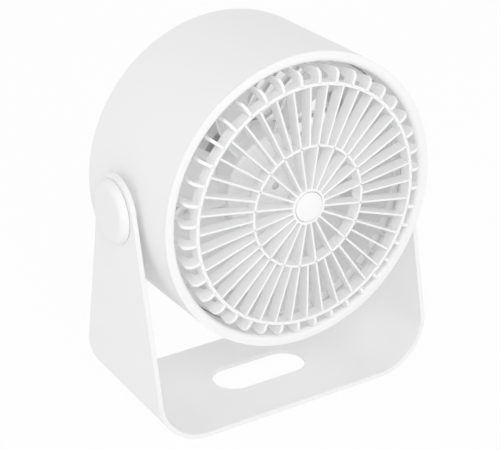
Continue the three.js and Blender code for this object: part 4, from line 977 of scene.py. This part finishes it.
FLOOR_HALF = 4.0
FLOOR_WHITE = 0.95
SHADE_CENTRE = (0.194, 0.355, 0)
SHADE_WIDTH, SHADE_LENGTH = 0.03, 0.15
SHADE_TURN = math.radians(-48)
SHADE_FADE = 2.2
floor_shape = bmesh.new()
bmesh.ops.create_grid(floor_shape, x_segments=1, y_segments=1, size=FLOOR_HALF)
floor_mesh = bpy.data.meshes.new("floor")
floor_shape.to_mesh(floor_mesh)
floor_shape.free()
floor = bpy.data.objects.new("floor", floor_mesh)
bpy.context.scene.collection.objects.link(floor)
floor_paint = bpy.data.materials.new("floor_paint")
floor_paint.use_nodes = True
floor_tree = floor_paint.node_tree
painted = floor_tree.nodes["Principled BSDF"]
painted.inputs["Base Color"].default_value = (0.95, 0.95, 0.95, 1)
painted.inputs["Roughness"].default_value = 0.9
painted.inputs["Specular IOR Level"].default_value = 0.0
glow = floor_tree.nodes.new("ShaderNodeEmission")
seen_white = floor_tree.nodes.new("ShaderNodeMixShader")
floor_place = floor_tree.nodes.new("ShaderNodeTexCoord")
shade_place = floor_tree.nodes.new("ShaderNodeMapping")
shade_place.vector_type = "TEXTURE"
shade_place.inputs["Location"].default_value = SHADE_CENTRE
shade_place.inputs["Rotation"].default_value = (0, 0, SHADE_TURN)
shade_place.inputs["Scale"].default_value = (SHADE_WIDTH, SHADE_LENGTH, 1)
floor_tree.links.new(floor_place.outputs["Object"], shade_place.inputs["Vector"])
from_shade = floor_tree.nodes.new("ShaderNodeVectorMath")
from_shade.operation = "LENGTH"
floor_tree.links.new(shade_place.outputs["Vector"], from_shade.inputs[0])
beyond_shade = floor_tree.nodes.new("ShaderNodeMapRange")
beyond_shade.interpolation_type = "SMOOTHSTEP"
beyond_shade.inputs["From Min"].default_value = 1
beyond_shade.inputs["From Max"].default_value = SHADE_FADE
beyond_shade.inputs["To Max"].default_value = FLOOR_WHITE
floor_tree.links.new(from_shade.outputs["Value"], beyond_shade.inputs["Value"])
share_white = floor_tree.nodes.new("ShaderNodeMath")
share_white.operation = "MULTIPLY"
floor_tree.links.new(beyond_shade.outputs["Result"], share_white.inputs[1])
floor_tree.links.new(ray_is(floor_tree, *SEEN_BY), share_white.inputs[0])
floor_tree.links.new(share_white.outputs[0], seen_white.inputs["Fac"])
floor_tree.links.new(painted.outputs["BSDF"], seen_white.inputs[1])
floor_tree.links.new(glow.outputs["Emission"], seen_white.inputs[2])
floor_tree.links.new(seen_white.outputs["Shader"], floor_tree.nodes["Material Output"].inputs["Surface"])
floor_mesh.materials.append(floor_paint)


def add_softbox(name, watts, size, place, target):
    lamp = bpy.data.lights.new(name, "AREA")
    lamp.energy = watts
    lamp.shape = "SQUARE"
    lamp.size = size
    holder = bpy.data.objects.new(name, lamp)
    bpy.context.scene.collection.objects.link(holder)
    holder.location = place
    holder.rotation_euler = (Vector(target) - Vector(place)).to_track_quat("-Z", "Y").to_euler()


TARGET_BELOW_AXIS = 0.0307
CAMERA_TARGET = Vector((0, TILT_AXIS.y * MM, TILT_AXIS.z * MM - TARGET_BELOW_AXIS))
add_softbox("front_light", 7.5, 0.8, (-0.5, -1.4, 1.15), CAMERA_TARGET)
add_softbox("left_light", 1.2, 1.0, (-1.6, -0.1, 0.95), CAMERA_TARGET)

CAMERA_AZIMUTH = math.radians(-32.117)
CAMERA_ELEVATION = math.radians(25.076)
CAMERA_DISTANCE = 0.8538
FOCAL_PIXELS = 1390.08
FRAME_WIDTH = 500
SENSOR_WIDTH = 36.0
CENTRE_RIGHT, CENTRE_UP = 8.98, 3.53
camera_data = bpy.data.cameras.new("camera")
camera_data.sensor_width = SENSOR_WIDTH
camera_data.lens = FOCAL_PIXELS * SENSOR_WIDTH / FRAME_WIDTH
camera_data.shift_x = -CENTRE_RIGHT / FRAME_WIDTH
camera_data.shift_y = -CENTRE_UP / FRAME_WIDTH
camera = bpy.data.objects.new("camera", camera_data)
bpy.context.scene.collection.objects.link(camera)
camera.location = CAMERA_TARGET + CAMERA_DISTANCE * Vector((
    math.sin(CAMERA_AZIMUTH) * math.cos(CAMERA_ELEVATION),
    -math.cos(CAMERA_AZIMUTH) * math.cos(CAMERA_ELEVATION),
    math.sin(CAMERA_ELEVATION)))
camera.rotation_euler = (CAMERA_TARGET - camera.location).to_track_quat("-Z", "Y").to_euler()
bpy.context.scene.camera = camera
bpy.context.scene.view_settings.view_transform = "Standard"
bpy.context.scene.cycles.diffuse_bounces = 12
